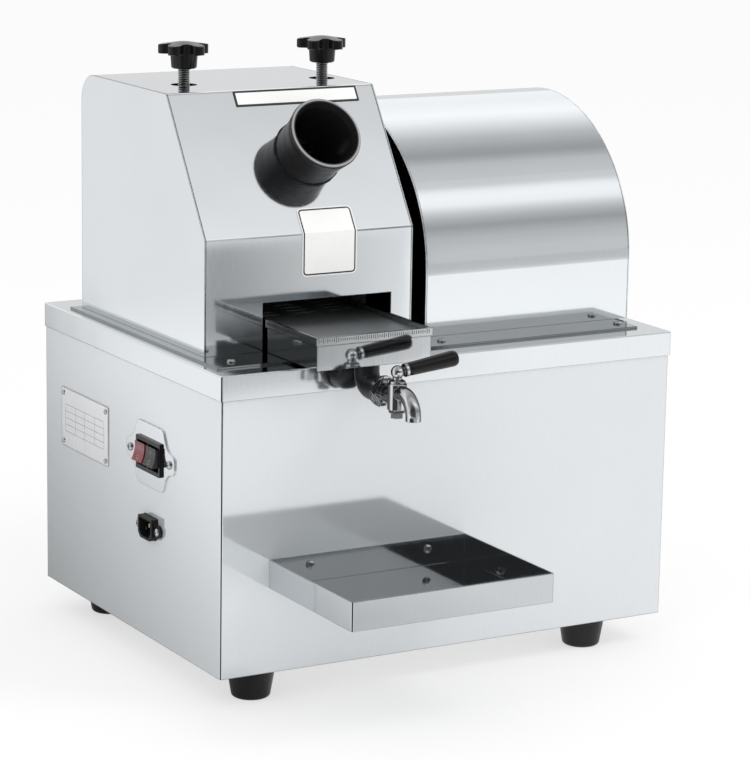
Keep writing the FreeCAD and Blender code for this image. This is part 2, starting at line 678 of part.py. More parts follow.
def frame_cap(side):
    """Bar across the slot, tapped for the pressure screw."""
    x = UNIT_X + side * SCREW_X
    half = FRAME_THICKNESS / 2
    reach = BLOCK_WIDTH - 3
    outline = rectangle(TOP_ROLLER_Y - reach, TOP_ROLLER_Y + reach, FRAME_TOP, FRAME_TOP + CAP_HEIGHT)
    cap = prism_x(outline, [0, 0, 2, 2], x - half, x + half)
    low = FRAME_TOP - CUT
    cuts = [rod(Vector(x, TOP_ROLLER_Y, low), Z_AXIS, CAP_HEIGHT + 2 * CUT, SCREW_RADIUS + RUN_GAP)]
    for seat in cap_bolt_seats(side):
        cuts.append(rod(Vector(seat.x, seat.y, low), Z_AXIS, CAP_HEIGHT + 2 * CUT,
                        CAP_BOLT_RADIUS + SCREW_GAP))
    return cap.cut(Part.makeCompound(cuts))


def bush(side, y, z):
    inner = UNIT_X + side * FRAME_INNER
    outer = UNIT_X + side * FRAME_OUTER
    start = Vector(min(inner, outer), y, z)
    return tube(start, X_AXIS, FRAME_THICKNESS, BUSH_RADIUS, JOURNAL_RADIUS + RUN_GAP)


def bearing_block(side):
    """Block that slides in the frame slot and carries the top roller's bush."""
    x = UNIT_X + side * SCREW_X
    half = FRAME_THICKNESS / 2
    outline = rectangle(TOP_ROLLER_Y - BLOCK_WIDTH / 2, TOP_ROLLER_Y + BLOCK_WIDTH / 2,
                        TOP_ROLLER_Z - BLOCK_BELOW, BLOCK_TOP)
    block = prism_x(outline, [2] * 4, x - half, x + half)
    bore = rod(Vector(x - half - CUT, TOP_ROLLER_Y, TOP_ROLLER_Z), X_AXIS, FRAME_THICKNESS + 2 * CUT,
               BUSH_RADIUS + PRESS_GAP)
    low = BLOCK_TOP - SCREW_HEAD_DEPTH
    high = low + SCREW_HEAD_HEIGHT + 2 * SEAT_GAP
    wide = SCREW_HEAD_RADIUS + SEAT_GAP
    narrow = SCREW_RADIUS + SEAT_GAP
    slot = box(x - half - CUT, x + half + CUT, TOP_ROLLER_Y - wide, TOP_ROLLER_Y + wide, low, high)
    neck = box(x - half - CUT, x + half + CUT, TOP_ROLLER_Y - narrow, TOP_ROLLER_Y + narrow, low,
               BLOCK_TOP + CUT)
    return block.cut(Part.makeCompound([bore])).cut(slot).cut(neck)


def fluted_roller(length):
    """Cross-section with V flutes along the roller, extruded."""
    points = []
    for index in range(2 * ROLLER_FLUTES + 1):
        angle = math.pi * index / ROLLER_FLUTES
        radius = ROLLER_RADIUS - FLUTE_DEPTH * (index % 2)
        points.append(Vector(0, radius * math.cos(angle), radius * math.sin(angle)))
    return Part.Face(Part.makePolygon(points)).extrude(Vector(length, 0, 0))


def roller(name):
    """Fluted roller turned in one piece with its shaft."""
    y, z = roller_positions()[name]
    body = fluted_roller(ROLLER_LENGTH)
    body.translate(Vector(UNIT_X - ROLLER_LENGTH / 2, y, z))
    left = GEAR_LEFT - SHAFT_END
    right = UNIT_X + FRAME_OUTER + SHAFT_END
    if name == "rear":
        right = COUPLING_LEFT + COUPLING_HUB
    return body.fuse(rod(Vector(left, y, z), X_AXIS, right - left, JOURNAL_RADIUS))


def involute_point(base, radius):
    """Polar angle that the involute of a base circle has reached at a radius."""
    turn = math.sqrt(max((radius / base) ** 2 - 1, 0))
    return turn - math.atan(turn)


def gear_outline(teeth):
    """Involute spur gear, its first tooth centred on the +Y direction."""
    pitch = GEAR_MODULE * teeth / 2
    base = pitch * math.cos(math.radians(PRESSURE_ANGLE))
    tip = pitch + GEAR_MODULE
    root = pitch - 1.25 * GEAR_MODULE
    half_tooth = (math.pi * GEAR_MODULE / 2 - GEAR_BACKLASH) / (2 * pitch)
    at_pitch = involute_point(base, pitch)
    flank = [(root, half_tooth + at_pitch)]
    for step in range(FLANK_STEPS + 1):
        radius = base + (tip - base) * step / FLANK_STEPS
        flank.append((radius, half_tooth + at_pitch - involute_point(base, radius)))
    points = []
    for tooth in range(teeth):
        centre = 2 * math.pi * tooth / teeth
        points += [(r, centre - a) for r, a in flank]
        points += [(r, centre + a) for r, a in reversed(flank)]
    ring = [Vector(0, r * math.cos(a), r * math.sin(a)) for r, a in points]
    return Part.makePolygon(ring + ring[:1])


def roller_gear(name):
    """Spur gear keyed on a roller's left journal, in mesh with the top gear."""
    y, z = roller_positions()[name]
    half_pitch = 180.0 / GEAR_TEETH
    towards = {"front": 90 - MESH_ANGLE, "rear": 90 + MESH_ANGLE}
    top_phase = 180 + towards["front"]
    phase = top_phase
    if name != "top":
        away = 180 + towards[name]
        phase = towards[name] + half_pitch - (top_phase - away)
    gear = Part.Face(gear_outline(GEAR_TEETH)).extrude(Vector(GEAR_WIDTH, 0, 0))
    gear.rotate(Vector(0, 0, 0), X_AXIS, phase)
    gear.translate(Vector(GEAR_LEFT, y, z))
    bore = rod(Vector(GEAR_LEFT - CUT, y, z), X_AXIS, GEAR_WIDTH + 2 * CUT, JOURNAL_RADIUS + PRESS_GAP)
    return gear.cut(bore)


def tie_bar(y, z):
    length = 2 * FRAME_INNER
    return rod(Vector(UNIT_X - FRAME_INNER, y, z), X_AXIS, length, TIE_BAR_RADIUS).cut(
        rod(Vector(UNIT_X - FRAME_INNER - CUT, y, z), X_AXIS, length + 2 * CUT,
            TIE_SCREW_RADIUS + SCREW_GAP))


def tie_bar_screw(side, y, z):
    seat = Vector(UNIT_X + side * FRAME_OUTER, y, z)
    return hex_bolt(seat, X_AXIS * side, TIE_SCREW_RADIUS, FRAME_THICKNESS + 3 * TIE_SCREW_RADIUS)


def turner_bar():
    """Bar between the lower rollers that turns the crushed cane up to the second nip."""
    length = 2 * FRAME_INNER
    start = Vector(UNIT_X - FRAME_INNER, TOP_ROLLER_Y, TOP_ROLLER_Z - TURNER_DROP)
    bar = rod(start, X_AXIS, length, TURNER_RADIUS)
    cuts = []
    for y, z in roller_positions().values():
        cuts.append(rod(Vector(start.x - CUT, y, z), X_AXIS, length + 2 * CUT, ROLLER_RADIUS + TURNER_GAP))
    return bar.cut(Part.makeCompound(cuts))


def pressure_screw(side):
    """Screw from the knob down to a head held in the bearing block's T-slot."""
    x = UNIT_X + side * SCREW_X
    low = BLOCK_TOP - SCREW_HEAD_DEPTH + SEAT_GAP
    length = KNOB_BASE + KNOB_GRIP - low
    profile = [(0, 0), (SCREW_HEAD_RADIUS, 0), (SCREW_HEAD_RADIUS, SCREW_HEAD_HEIGHT),
               (SCREW_RADIUS, SCREW_HEAD_HEIGHT), (SCREW_RADIUS, length), (0, length)]
    return turned(profile, Vector(x, TOP_ROLLER_Y, low), Z_AXIS)


def star_wire(z):
    """Star of round lobes joined by tangent hollows."""
    lobe_at = KNOB_RADIUS - LOBE_RADIUS
    step = math.pi / KNOB_LOBES
    top = lobe_at ** 2 + KNOB_VALLEY ** 2 - 2 * lobe_at * KNOB_VALLEY * math.cos(step) - LOBE_RADIUS ** 2
    hollow = top / (2 * (LOBE_RADIUS - KNOB_VALLEY + lobe_at * math.cos(step)))
    hollow_at = KNOB_VALLEY + hollow

    def at(radius, angle):
        return Vector(radius * math.cos(angle), radius * math.sin(angle), z)

    edges = []
    for lobe in range(KNOB_LOBES):
        angle = 2 * step * lobe
        centre = at(lobe_at, angle)
        joins = []
        for side in (-1, 1):
            other = at(hollow_at, angle + side * step)
            joins.append(centre + (other - centre).normalize() * LOBE_RADIUS)
        edges.append(Part.Arc(joins[0], at(KNOB_RADIUS, angle), joins[1]).toShape())
        following = at(lobe_at, angle + 2 * step)
        valley = at(hollow_at, angle + step)
        last = following + (valley - following).normalize() * LOBE_RADIUS
        edges.append(Part.Arc(joins[1], at(KNOB_VALLEY, angle + step), last).toShape())
    return Part.Wire(edges)


def star_knob(side):
    """Moulded star knob: crowned five-lobed head on a round boss."""
    x = UNIT_X + side * SCREW_X
    head_z = KNOB_BOSS_HEIGHT
    rim = KNOB_HEAD_HEIGHT - 2 * KNOB_CROWN
    head = Part.Face(star_wire(head_z)).extrude(Vector(0, 0, KNOB_HEAD_HEIGHT + KNOB_CROWN))
    mould = [(0, head_z), (KNOB_RADIUS - 1.2, head_z), (KNOB_RADIUS + 1, head_z + 1.6),
             (KNOB_RADIUS + 1, head_z + rim), (KNOB_RADIUS - 1.5, head_z + rim + KNOB_CROWN),
             (KNOB_BOSS_RADIUS, head_z + KNOB_HEAD_HEIGHT),
             (KNOB_BOSS_RADIUS / 2, head_z + KNOB_HEAD_HEIGHT + KNOB_CROWN * 0.7),
             (0, head_z + KNOB_HEAD_HEIGHT + KNOB_CROWN)]
    head = head.common(turned(mould, Vector(0, 0, 0), Z_AXIS))
    boss = turned([(0, 0), (KNOB_BOSS_RADIUS - 2.2, 0), (KNOB_BOSS_RADIUS - 1, 1),
                   (KNOB_BOSS_RADIUS, head_z + 1), (0, head_z + 1)], Vector(0, 0, 0), Z_AXIS)
    knob = head.fuse(boss)
    knob = knob.cut(rod(Vector(0, 0, -CUT), Z_AXIS, KNOB_GRIP + CUT + SEAT_GAP, SCREW_RADIUS + PRESS_GAP))
    knob.translate(Vector(x, TOP_ROLLER_Y, KNOB_BASE))
    return knob


# ---------------------------------------------------------------- roller housing
def housing_outline():
    return [(HOUSING_FRONT, DECK_TOP), (HOUSING_BACK, DECK_TOP), (HOUSING_BACK, HOUSING_TOP),
            (SLOPE_TOP_Y, HOUSING_TOP), (HOUSING_FRONT, CREASE_Z)]


def housing_wrap():
    """Front, slope, top and back bent from one sheet, with its four kinds of opening."""
    x0 = HOUSING_LEFT + SHEET + SEAT_GAP
    x1 = HOUSING_RIGHT - SHEET - SEAT_GAP
    radii = [0, 0, REAR_RADIUS, CREASE_RADIUS, CREASE_RADIUS]
    inner = [0, 0] + [max(r - SHEET, 0.2) for r in radii[2:]]
    wrap = prism_x(housing_outline(), radii, x0, x1)
    hollow = inset(housing_outline(), [-CUT, SHEET, SHEET, SHEET, SHEET])
    wrap = wrap.cut(prism_x(hollow, inner, x0 - CUT, x1 + CUT))
    cuts = [box(MOUTH_LEFT, MOUTH_RIGHT, HOUSING_FRONT - CUT, HOUSING_FRONT + CUT,
                DECK_TOP - CUT, DECK_TOP + MOUTH_HEIGHT)]
    half = TROUGH_HALF
    cuts.append(box(UNIT_X - half, UNIT_X + half, HOUSING_BACK - CUT, HOUSING_BACK + CUT,
                    outlet_floor(), outlet_floor() + OUTLET_HEIGHT))
    start = Vector(TUBE_X, TUBE_Y, TUBE_Z) - TUBE_OUT * CUT
    cuts.append(rod(start, TUBE_OUT, 2 * CUT, TUBE_RADIUS + SEAT_GAP))
    for side in (-1, 1):
        cuts.append(rod(Vector(UNIT_X + side * SCREW_X, TOP_ROLLER_Y, HOUSING_TOP - CUT), Z_AXIS, 2 * CUT,
                        TOP_HOLE_RADIUS))
    return wrap.cut(Part.makeCompound(cuts))


def housing_end(x0):
    radii = [0, 0, REAR_RADIUS, CREASE_RADIUS, CREASE_RADIUS]
    return prism_x(housing_outline(), radii, x0, x0 + SHEET)


def housing_right_end():
    panel = housing_end(HOUSING_RIGHT - SHEET)
    hole = rod(Vector(HOUSING_RIGHT - SHEET - CUT, REAR_ROLLER_Y, LOW_ROLLER_Z), X_AXIS, SHEET + 2 * CUT,
               SHAFT_HOLE_RADIUS)
    return panel.cut(hole)


def feed_tube():
    """Rubber feed tube square to the slope, held by a flange behind the sheet, with a rolled lip."""
    back = -SHEET - SEAT_GAP
    lip = TUBE_LIP_HEIGHT / 2
    neck = TUBE_LENGTH - 1.6 * TUBE_LIP_HEIGHT
    profile = [(TUBE_BORE, -TUBE_INSIDE), (TUBE_RADIUS, -TUBE_INSIDE),
               (TUBE_RADIUS, back - TUBE_FLANGE_HEIGHT), (TUBE_FLANGE_RADIUS, back - TUBE_FLANGE_HEIGHT),
               (TUBE_FLANGE_RADIUS, back), (TUBE_RADIUS, back), (TUBE_RADIUS, neck / 3),
               (TUBE_RADIUS + TUBE_FLARE * 0.35, neck * 0.7), (TUBE_RADIUS + TUBE_FLARE, neck)]
    profile += arc_profile(TUBE_LIP_RADIUS - lip, TUBE_LENGTH - lip, lip, TUBE_LIP_START, 90, 5)
    profile += [(TUBE_BORE + TUBE_MOUTH_BEVEL, TUBE_LENGTH), (TUBE_BORE, TUBE_LENGTH - 3 * TUBE_MOUTH_BEVEL)]
    return turned(profile, Vector(TUBE_X, TUBE_Y, TUBE_Z), TUBE_OUT)


def chute_underside(y):
    """Height of the chute's underside, a line that just clears the rear roller."""
    fall = math.radians(CHUTE_FALL)
    clear = ROLLER_RADIUS + CHUTE_ROLLER_GAP
    return LOW_ROLLER_Z + clear / math.cos(fall) - (y - REAR_ROLLER_Y) * math.tan(fall)


def outlet_floor():
    """Lower edge of the outlet in the back of the housing, on which the chute rests."""
    return chute_underside(HOUSING_BACK) - SEAT_GAP


def residue_chute():
    """Folded chute that scrapes the rear roller and leads the crushed cane out at the back."""
    fall = math.radians(CHUTE_FALL)
    y0 = REAR_ROLLER_Y + (ROLLER_RADIUS + CHUTE_ROLLER_GAP) * math.sin(fall)
    y1 = HOUSING_BACK + CHUTE_REACH
    z0, z1 = chute_underside(y0), chute_underside(y1)
    half = TROUGH_HALF - SEAT_GAP
    thick = CHUTE_SHEET / math.cos(fall)
    floor = prism_x([(y0, z0), (y1, z1), (y1, z1 + thick), (y0, z0 + thick)], [0] * 4,
                    UNIT_X - half, UNIT_X + half)
    walls = []
    for side in (-1, 1):
        x = UNIT_X + side * (half - CHUTE_SHEET / 2)
        walls.append(prism_x([(y0, z0), (y1, z1), (y1, z1 + CHUTE_WALL), (y0, z0 + CHUTE_WALL)],
                             [0, 0, 4, 4], x - CHUTE_SHEET / 2, x + CHUTE_SHEET / 2))
    return floor.fuse(walls).removeSplitter()


# ---------------------------------------------------------------- juice trough
def juice_trough():
    """Open sheet trough with a hem folded outwards round its rim."""
    top = TROUGH_FLOOR + TROUGH_HEIGHT
    x0, x1 = UNIT_X - TROUGH_HALF, UNIT_X + TROUGH_HALF
    hem = box(x0, x1, TROUGH_FRONT, TROUGH_BACK, top - HEM_HEIGHT, top)
    wall = box(x0 + SHEET, x1 - SHEET, TROUGH_FRONT + SHEET, TROUGH_BACK - SHEET, TROUGH_FLOOR, top)
    hollow = box(x0 + 2 * SHEET, x1 - 2 * SHEET, TROUGH_FRONT + 2 * SHEET, TROUGH_BACK - 2 * SHEET,
                 TROUGH_FLOOR + SHEET, top + CUT)
    drain = rod(Vector(UNIT_X, DRAIN_Y, TROUGH_FLOOR - CUT), Z_AXIS, 2 * CUT, DRAIN_RADIUS + SCREW_GAP)
    return hem.fuse(wall).removeSplitter().cut(Part.makeCompound([hollow, drain]))


def strainer():
    """Sheet slotted under the rollers, whose turned-down sides stand on the trough's floor."""
    half = TROUGH_HALF - 2 * SHEET - STRAINER_GAP
    y0 = TROUGH_FRONT + 2 * SHEET + STRAINER_GAP
    y1 = TROUGH_BACK - 2 * SHEET - STRAINER_GAP
    floor = TROUGH_FLOOR + SHEET
    sheet = box(UNIT_X - half, UNIT_X + half, y0, y1, floor, STRAINER_TOP)
    sheet = sheet.cut(box(UNIT_X - half + SHEET, UNIT_X + half - SHEET, y0 - CUT, y1 + CUT,
                          floor - CUT, STRAINER_TOP - SHEET))
    slots = []
    first = HOUSING_FRONT + STRAINER_MARGIN
    pitch = (y1 - STRAINER_MARGIN - first) / (STRAINER_ROWS - 1)
    step = 2 * half / STRAINER_COLUMNS
    for row in range(STRAINER_ROWS):
        y = first + row * pitch
        for column in range(STRAINER_COLUMNS):
            x = UNIT_X + (column - (STRAINER_COLUMNS - 1) / 2) * step
            slots.append(box(x - STRAINER_SLOT / 2, x + STRAINER_SLOT / 2, y - STRAINER_SLOT_HEIGHT / 2,
                             y + STRAINER_SLOT_HEIGHT / 2, STRAINER_TOP - CUT, STRAINER_TOP + CUT))
    return sheet.cut(Part.makeCompound(slots))


def elbow_curve(radius, overrun):
    """Round bar down from the trough and forward to the tap."""
    corner = TAP_Z + ELBOW_BEND
    end = tap_flange_back()
    leg = rod(Vector(UNIT_X, DRAIN_Y, corner), Z_AXIS, TROUGH_FLOOR - corner + overrun, radius)
    ring = Part.Face(Part.Wire(Part.makeCircle(radius, Vector(UNIT_X, DRAIN_Y, corner), Z_AXIS)))
    pivot = Vector(UNIT_X, DRAIN_Y - ELBOW_BEND, corner)
    bend = ring.revolve(pivot, X_AXIS, -90)
    arm_start = Vector(UNIT_X, DRAIN_Y - ELBOW_BEND, TAP_Z)
    arm = rod(arm_start, Y_AXIS * -1, arm_start.y - end + overrun, radius)
    return leg.fuse([bend, arm])


def tap_flange_back():
    return TAP_AXIS_Y + BARREL_RADIUS + TAP_FLANGE_LENGTH + TAP_NUT_LENGTH + TAP_NECK


def drain_elbow():
    """Moulded elbow from the trough's drain to the tap, with a collar at the tap."""
    end = tap_flange_back()
    mouth = rod(Vector(UNIT_X, end + 5, TAP_Z), Y_AXIS * -1, 5, ELBOW_RADIUS + 1.5)
    spigot = rod(Vector(UNIT_X, DRAIN_Y, TROUGH_FLOOR - 1), Z_AXIS, SHEET + DRAIN_NUT_HEIGHT + 1,
                 DRAIN_RADIUS)
    elbow = elbow_curve(ELBOW_RADIUS, 0).fuse([mouth, spigot])
    bore = rod(Vector(UNIT_X, DRAIN_Y, TROUGH_FLOOR - CUT), Z_AXIS, 4 * CUT, DRAIN_RADIUS - 1.5)
    socket = rod(Vector(UNIT_X, end + TAP_SPIGOT + SEAT_GAP, TAP_Z), Y_AXIS * -1, TAP_SPIGOT + CUT,
                 TAP_INLET_RADIUS + PRESS_GAP)
    passage = elbow_curve(ELBOW_BORE, 0).cut(
        box(-LID_WIDTH, LID_WIDTH, -LID_DEPTH, LID_DEPTH, TROUGH_FLOOR - 3, LID_TOP * 2))
    return elbow.cut(passage).cut(bore).cut(socket)


def drain_nut():
    start = Vector(UNIT_X, DRAIN_Y, TROUGH_FLOOR + SHEET)
    nut = hexagon(start, Z_AXIS, DRAIN_NUT_HEIGHT, DRAIN_NUT_RADIUS)
    return nut.cut(rod(start - Z_AXIS, Z_AXIS, 2 * DRAIN_NUT_HEIGHT, DRAIN_RADIUS + PRESS_GAP))


def tap_locknut():
    """Chromed round-and-hexagon nut that clamps the tap on the elbow."""
    end = tap_flange_back()
    flange = rod(Vector(UNIT_X, end, TAP_Z), Y_AXIS * -1, TAP_FLANGE_LENGTH, TAP_FLANGE_RADIUS)
    nut = hexagon(Vector(UNIT_X, end - TAP_FLANGE_LENGTH, TAP_Z), Y_AXIS * -1, TAP_NUT_LENGTH,
                  TAP_FLANGE_RADIUS - 3)
    bore = rod(Vector(UNIT_X, end + CUT, TAP_Z), Y_AXIS * -1, 6 * CUT, TAP_INLET_RADIUS + PRESS_GAP)
    return flange.fuse(nut).cut(bore)


def spout_curve(radius):
    """Round bar that leaves the barrel forwards and bends down to the outlet."""
    z = TAP_Z + SPOUT_RISE
    start = Vector(UNIT_X, TAP_AXIS_Y, z)
    bend_y = TAP_AXIS_Y - SPOUT_START
    neck = rod(start, Y_AXIS * -1, SPOUT_START, radius)
    ring = Part.Face(Part.Wire(Part.makeCircle(radius, Vector(UNIT_X, bend_y, z), Y_AXIS)))
    bend = ring.revolve(Vector(UNIT_X, bend_y, z - SPOUT_BEND), X_AXIS, 90)
    tip = rod(Vector(UNIT_X, bend_y - SPOUT_BEND, z - SPOUT_BEND), Z_AXIS * -1, SPOUT_TIP, radius)
    return neck.fuse([bend, tip])


def tap_body():
    """Cast tap: inlet spigot, upright barrel and curved spout."""
    end = tap_flange_back()
    inlet = rod(Vector(UNIT_X, end + TAP_SPIGOT, TAP_Z), Y_AXIS * -1, end + TAP_SPIGOT - TAP_AXIS_Y,
                TAP_INLET_RADIUS)
    z0 = TAP_Z - BARREL_BELOW
    barrel = turned([(0, 0), (BARREL_RADIUS - 1.5, 0), (BARREL_RADIUS, 2),
                     (BARREL_RADIUS, BARREL_BELOW + BARREL_ABOVE - 1),
                     (BARREL_RADIUS - 1.2, BARREL_BELOW + BARREL_ABOVE), (0, BARREL_BELOW + BARREL_ABOVE)],
                    Vector(UNIT_X, TAP_AXIS_Y, z0), Z_AXIS)
    body = inlet.fuse([barrel, spout_curve(SPOUT_RADIUS)])
    bore = rod(Vector(UNIT_X, end + CUT, TAP_Z), Y_AXIS * -1, end + CUT - TAP_AXIS_Y, SPOUT_BORE)
    plug_bore = rod(Vector(UNIT_X, TAP_AXIS_Y, z0 - CUT), Z_AXIS, 8 * CUT, PLUG_RADIUS + RUN_GAP)
    return body.cut(spout_curve(SPOUT_BORE)).cut(Part.makeCompound([bore, plug_bore]))


def tap_plug():
    """Turned plug with a ball on top; its cross-hole lines up with the spout when open."""
    above = BARREL_ABOVE + SEAT_GAP
    below = BARREL_BELOW + SEAT_GAP
    ball = arc_profile(0, PLUG_BALL_HEIGHT, PLUG_BALL_RADIUS, -48, 90, 8)
    profile = [(0, -below), (PLUG_RADIUS, -below), (PLUG_RADIUS, above),
               (BARREL_RADIUS - 1, above), (BARREL_RADIUS - 1.5, above + 1.6),
               (PLUG_BALL_RADIUS - 1.8, above + 3.2)] + ball
    plug = turned(profile, Vector(UNIT_X, TAP_AXIS_Y, TAP_Z), Z_AXIS)
    cross = rod(Vector(UNIT_X - 3 * CUT, TAP_AXIS_Y, TAP_Z + SPOUT_RISE / 2), X_AXIS, 6 * CUT,
                SPOUT_BORE - 0.5)
    return plug.cut(cross)


def lever_axis():
    return Vector(LEVER_LENGTH, 0, LEVER_RISE).normalize()


def ball_centre():
    return Vector(UNIT_X, TAP_AXIS_Y, TAP_Z + PLUG_BALL_HEIGHT)


def lever_rod():
    """Chromed rod and collar of the tap lever, screwed into the ball."""
    axis = lever_axis()
    start = PLUG_BALL_RADIUS * 0.94
    profile = [(0, start), (3.2, start), (3.2, start + 1), (LEVER_COLLAR_RADIUS, start + 1.4),
               (LEVER_COLLAR_RADIUS, LEVER_COLLAR), (2.5, LEVER_COLLAR), (2.5, LEVER_LENGTH - 12),
               (0, LEVER_LENGTH - 12)]
    return turned(profile, ball_centre(), axis).cut(
        Part.makeSphere(PLUG_BALL_RADIUS, ball_centre()))


def lever_grip():
    """Plastic sleeve, thicker towards its rounded end."""
    end = LEVER_LENGTH
    tip = arc_profile(0, end - LEVER_END_RADIUS * 0.6, LEVER_END_RADIUS, 0, 90, 6)
    tip = [(r, min(h, end)) for r, h in tip]
    profile = [(2.5 + PRESS_GAP, LEVER_COLLAR + PRESS_GAP), (LEVER_ROOT_RADIUS, LEVER_COLLAR + PRESS_GAP),
               (LEVER_ROOT_RADIUS + 0.6, LEVER_COLLAR + 4)] + tip
    profile += [(0, end - 12 + 1), (2.5 + PRESS_GAP, end - 12 + 1)]
    return turned(profile, ball_centre(), lever_axis())


def tap_tail_nut():
    """Nut under the barrel that draws the plug down."""
    z = TAP_Z - BARREL_BELOW - SEAT_GAP
    washer = rod(Vector(UNIT_X, TAP_AXIS_Y, z - 1), Z_AXIS, 1, TAIL_NUT_RADIUS + 2)
    return washer.fuse(hexagon(Vector(UNIT_X, TAP_AXIS_Y, z - TAIL_NUT_HEIGHT), Z_AXIS,
                               TAIL_NUT_HEIGHT - 1, TAIL_NUT_RADIUS))


# ---------------------------------------------------------------- drip tray
def drip_tray():
    back = -SHELL_Y
    z0 = PAN_Z + TRAY_FLOOR
    z1 = z0 + TRAY_HEIGHT
    outline = rectangle(TRAY_LEFT, TRAY_RIGHT, TRAY_FRONT, back)
    tray = prism_z(outline, [BEND_RADIUS, BEND_RADIUS, 0, 0], z0, z1)
    tray = tray.cut(box(TRAY_LEFT + SHEET, TRAY_RIGHT - SHEET, TRAY_FRONT + SHEET, back - SHEET,
                        z0 + SHEET, z1 + CUT))
    holes = [rod(seat - Y_AXIS * CUT, Y_AXIS, 2 * CUT, PAN_SHANK_RADIUS + SCREW_GAP)
             for seat in tray_screw_seats()]
    return tray.cut(Part.makeCompound(holes))


def tray_screw_seats():
    z = PAN_Z + TRAY_FLOOR + TRAY_HEIGHT - TRAY_SCREW_DROP
    y = -SHELL_Y - SHEET
    return [Vector(x, y, z) for x in (TRAY_LEFT + TRAY_SCREW_INSET, TRAY_RIGHT - TRAY_SCREW_INSET)]


# ---------------------------------------------------------------- motor cover
def cover_wire(x, thinner, below):
    """Three-centred arch on straight legs; thinner moves it inwards."""
    crown_z = DECK_TOP + COVER_HEIGHT - COVER_CROWN
    drop = math.sqrt((COVER_CROWN - COVER_CORNER) ** 2 - (COVER_HALF - COVER_CORNER) ** 2)
    spring = crown_z + drop
    half = COVER_HALF - thinner
    crown = COVER_CROWN - thinner
    corner = COVER_CORNER - thinner
    lean = math.atan2(COVER_HALF - COVER_CORNER, drop)
    join = (crown * math.sin(lean), crown_z + crown * math.cos(lean))
    middle = (math.pi / 2 + lean) / 2
    haunch = (COVER_HALF - COVER_CORNER + corner * math.sin(middle), spring + corner * math.cos(middle))

    def at(y, z):
        return Vector(x, COVER_Y + y, z)

    edges = [Part.LineSegment(at(-half, DECK_TOP - below), at(-half, spring)).toShape(),
             Part.Arc(at(-half, spring), at(-haunch[0], haunch[1]), at(-join[0], join[1])).toShape(),
             Part.Arc(at(-join[0], join[1]), at(0, crown_z + crown), at(join[0], join[1])).toShape(),
             Part.Arc(at(join[0], join[1]), at(haunch[0], haunch[1]), at(half, spring)).toShape(),
             Part.LineSegment(at(half, spring), at(half, DECK_TOP - below)).toShape(),
             Part.LineSegment(at(half, DECK_TOP - below), at(-half, DECK_TOP - below)).toShape()]
    return Part.Wire(edges)


def motor_cover_wrap():
    x0 = COVER_LEFT + SHEET + SEAT_GAP
    x1 = COVER_RIGHT - SHEET - SEAT_GAP
    wrap = Part.Face(cover_wire(x0, 0, 0)).extrude(Vector(x1 - x0, 0, 0))
    hollow = Part.Face(cover_wire(x0 - CUT, SHEET, CUT)).extrude(Vector(x1 - x0 + 2 * CUT, 0, 0))
    return wrap.cut(hollow)


def motor_cover_left_end():
    plate = Part.Face(cover_wire(COVER_LEFT, 0, 0)).extrude(Vector(SHEET, 0, 0))
    hole = rod(Vector(COVER_LEFT - CUT, REAR_ROLLER_Y, LOW_ROLLER_Z), X_AXIS, SHEET + 2 * CUT,
               SHAFT_HOLE_RADIUS)
    return plate.cut(hole)


def motor_cover_right_end():
    """End plate with ventilation slots beside the motor."""
    x0 = COVER_RIGHT - SHEET
    plate = Part.Face(cover_wire(x0, 0, 0)).extrude(Vector(SHEET, 0, 0))
    slots = []
    for index in range(COVER_VENT_COUNT):
        y = COVER_Y + (index - (COVER_VENT_COUNT - 1) / 2) * VENT_PITCH
        z = DECK_TOP + COVER_VENT_LENGTH
        outline = rectangle(y, y + VENT_HEIGHT, z, z + COVER_VENT_LENGTH)
        slots.append(prism_x(outline, [VENT_HEIGHT * 0.49] * 4, x0 - CUT, x0 + CUT))
    return plate.cut(Part.makeCompound(slots))


# ---------------------------------------------------------------- gear motor
def on_drive_axis(solid, x0, turn):
    """Solid built upright at the origin, laid along the drive axis from x0."""
    solid.rotate(Vector(0, 0, 0), Z_AXIS, turn)
    lay = FreeCAD.Placement(Vector(x0, REAR_ROLLER_Y, LOW_ROLLER_Z), FreeCAD.Rotation(Z_AXIS, X_AXIS))
    solid.Placement = lay.multiply(solid.Placement)
    return solid


def coupling_hub(bore):
    """Jaw coupling half, upright: a boss with three jaws on its top."""
    top = 2 * COUPLING_JAW + COUPLING_GAP - 1
    hub = rod(Vector(0, 0, 0), Z_AXIS, COUPLING_HUB, COUPLING_RADIUS)
    core = rod(Vector(0, 0, 0), Z_AXIS, COUPLING_HUB + 2 * top, COUPLING_RADIUS * 0.45)
    jaws = []
    for jaw in range(COUPLING_JAWS):
        wedge = Part.makeCylinder(COUPLING_RADIUS, top, Vector(0, 0, COUPLING_HUB), Z_AXIS,
                                  COUPLING_JAW_ANGLE)
        wedge.rotate(Vector(0, 0, 0), Z_AXIS, 360 * jaw / COUPLING_JAWS - COUPLING_JAW_ANGLE / 2)
        jaws.append(wedge.cut(core))
    whole = hub.fuse(jaws)
    return whole.cut(rod(Vector(0, 0, -CUT), Z_AXIS, COUPLING_HUB + 2 * CUT, bore + PRESS_GAP))


def coupling_hubs():
    """Roller half and gearbox half, facing each other with their jaws interleaved."""
    near = on_drive_axis(coupling_hub(JOURNAL_RADIUS), COUPLING_LEFT, 0)
    far = coupling_hub(OUTPUT_SHAFT_RADIUS)
    far.rotate(Vector(0, 0, 0), X_AXIS, 180)
    far = on_drive_axis(far, COUPLING_LEFT + COUPLING_LENGTH, 180 / COUPLING_JAWS)
    return near, far


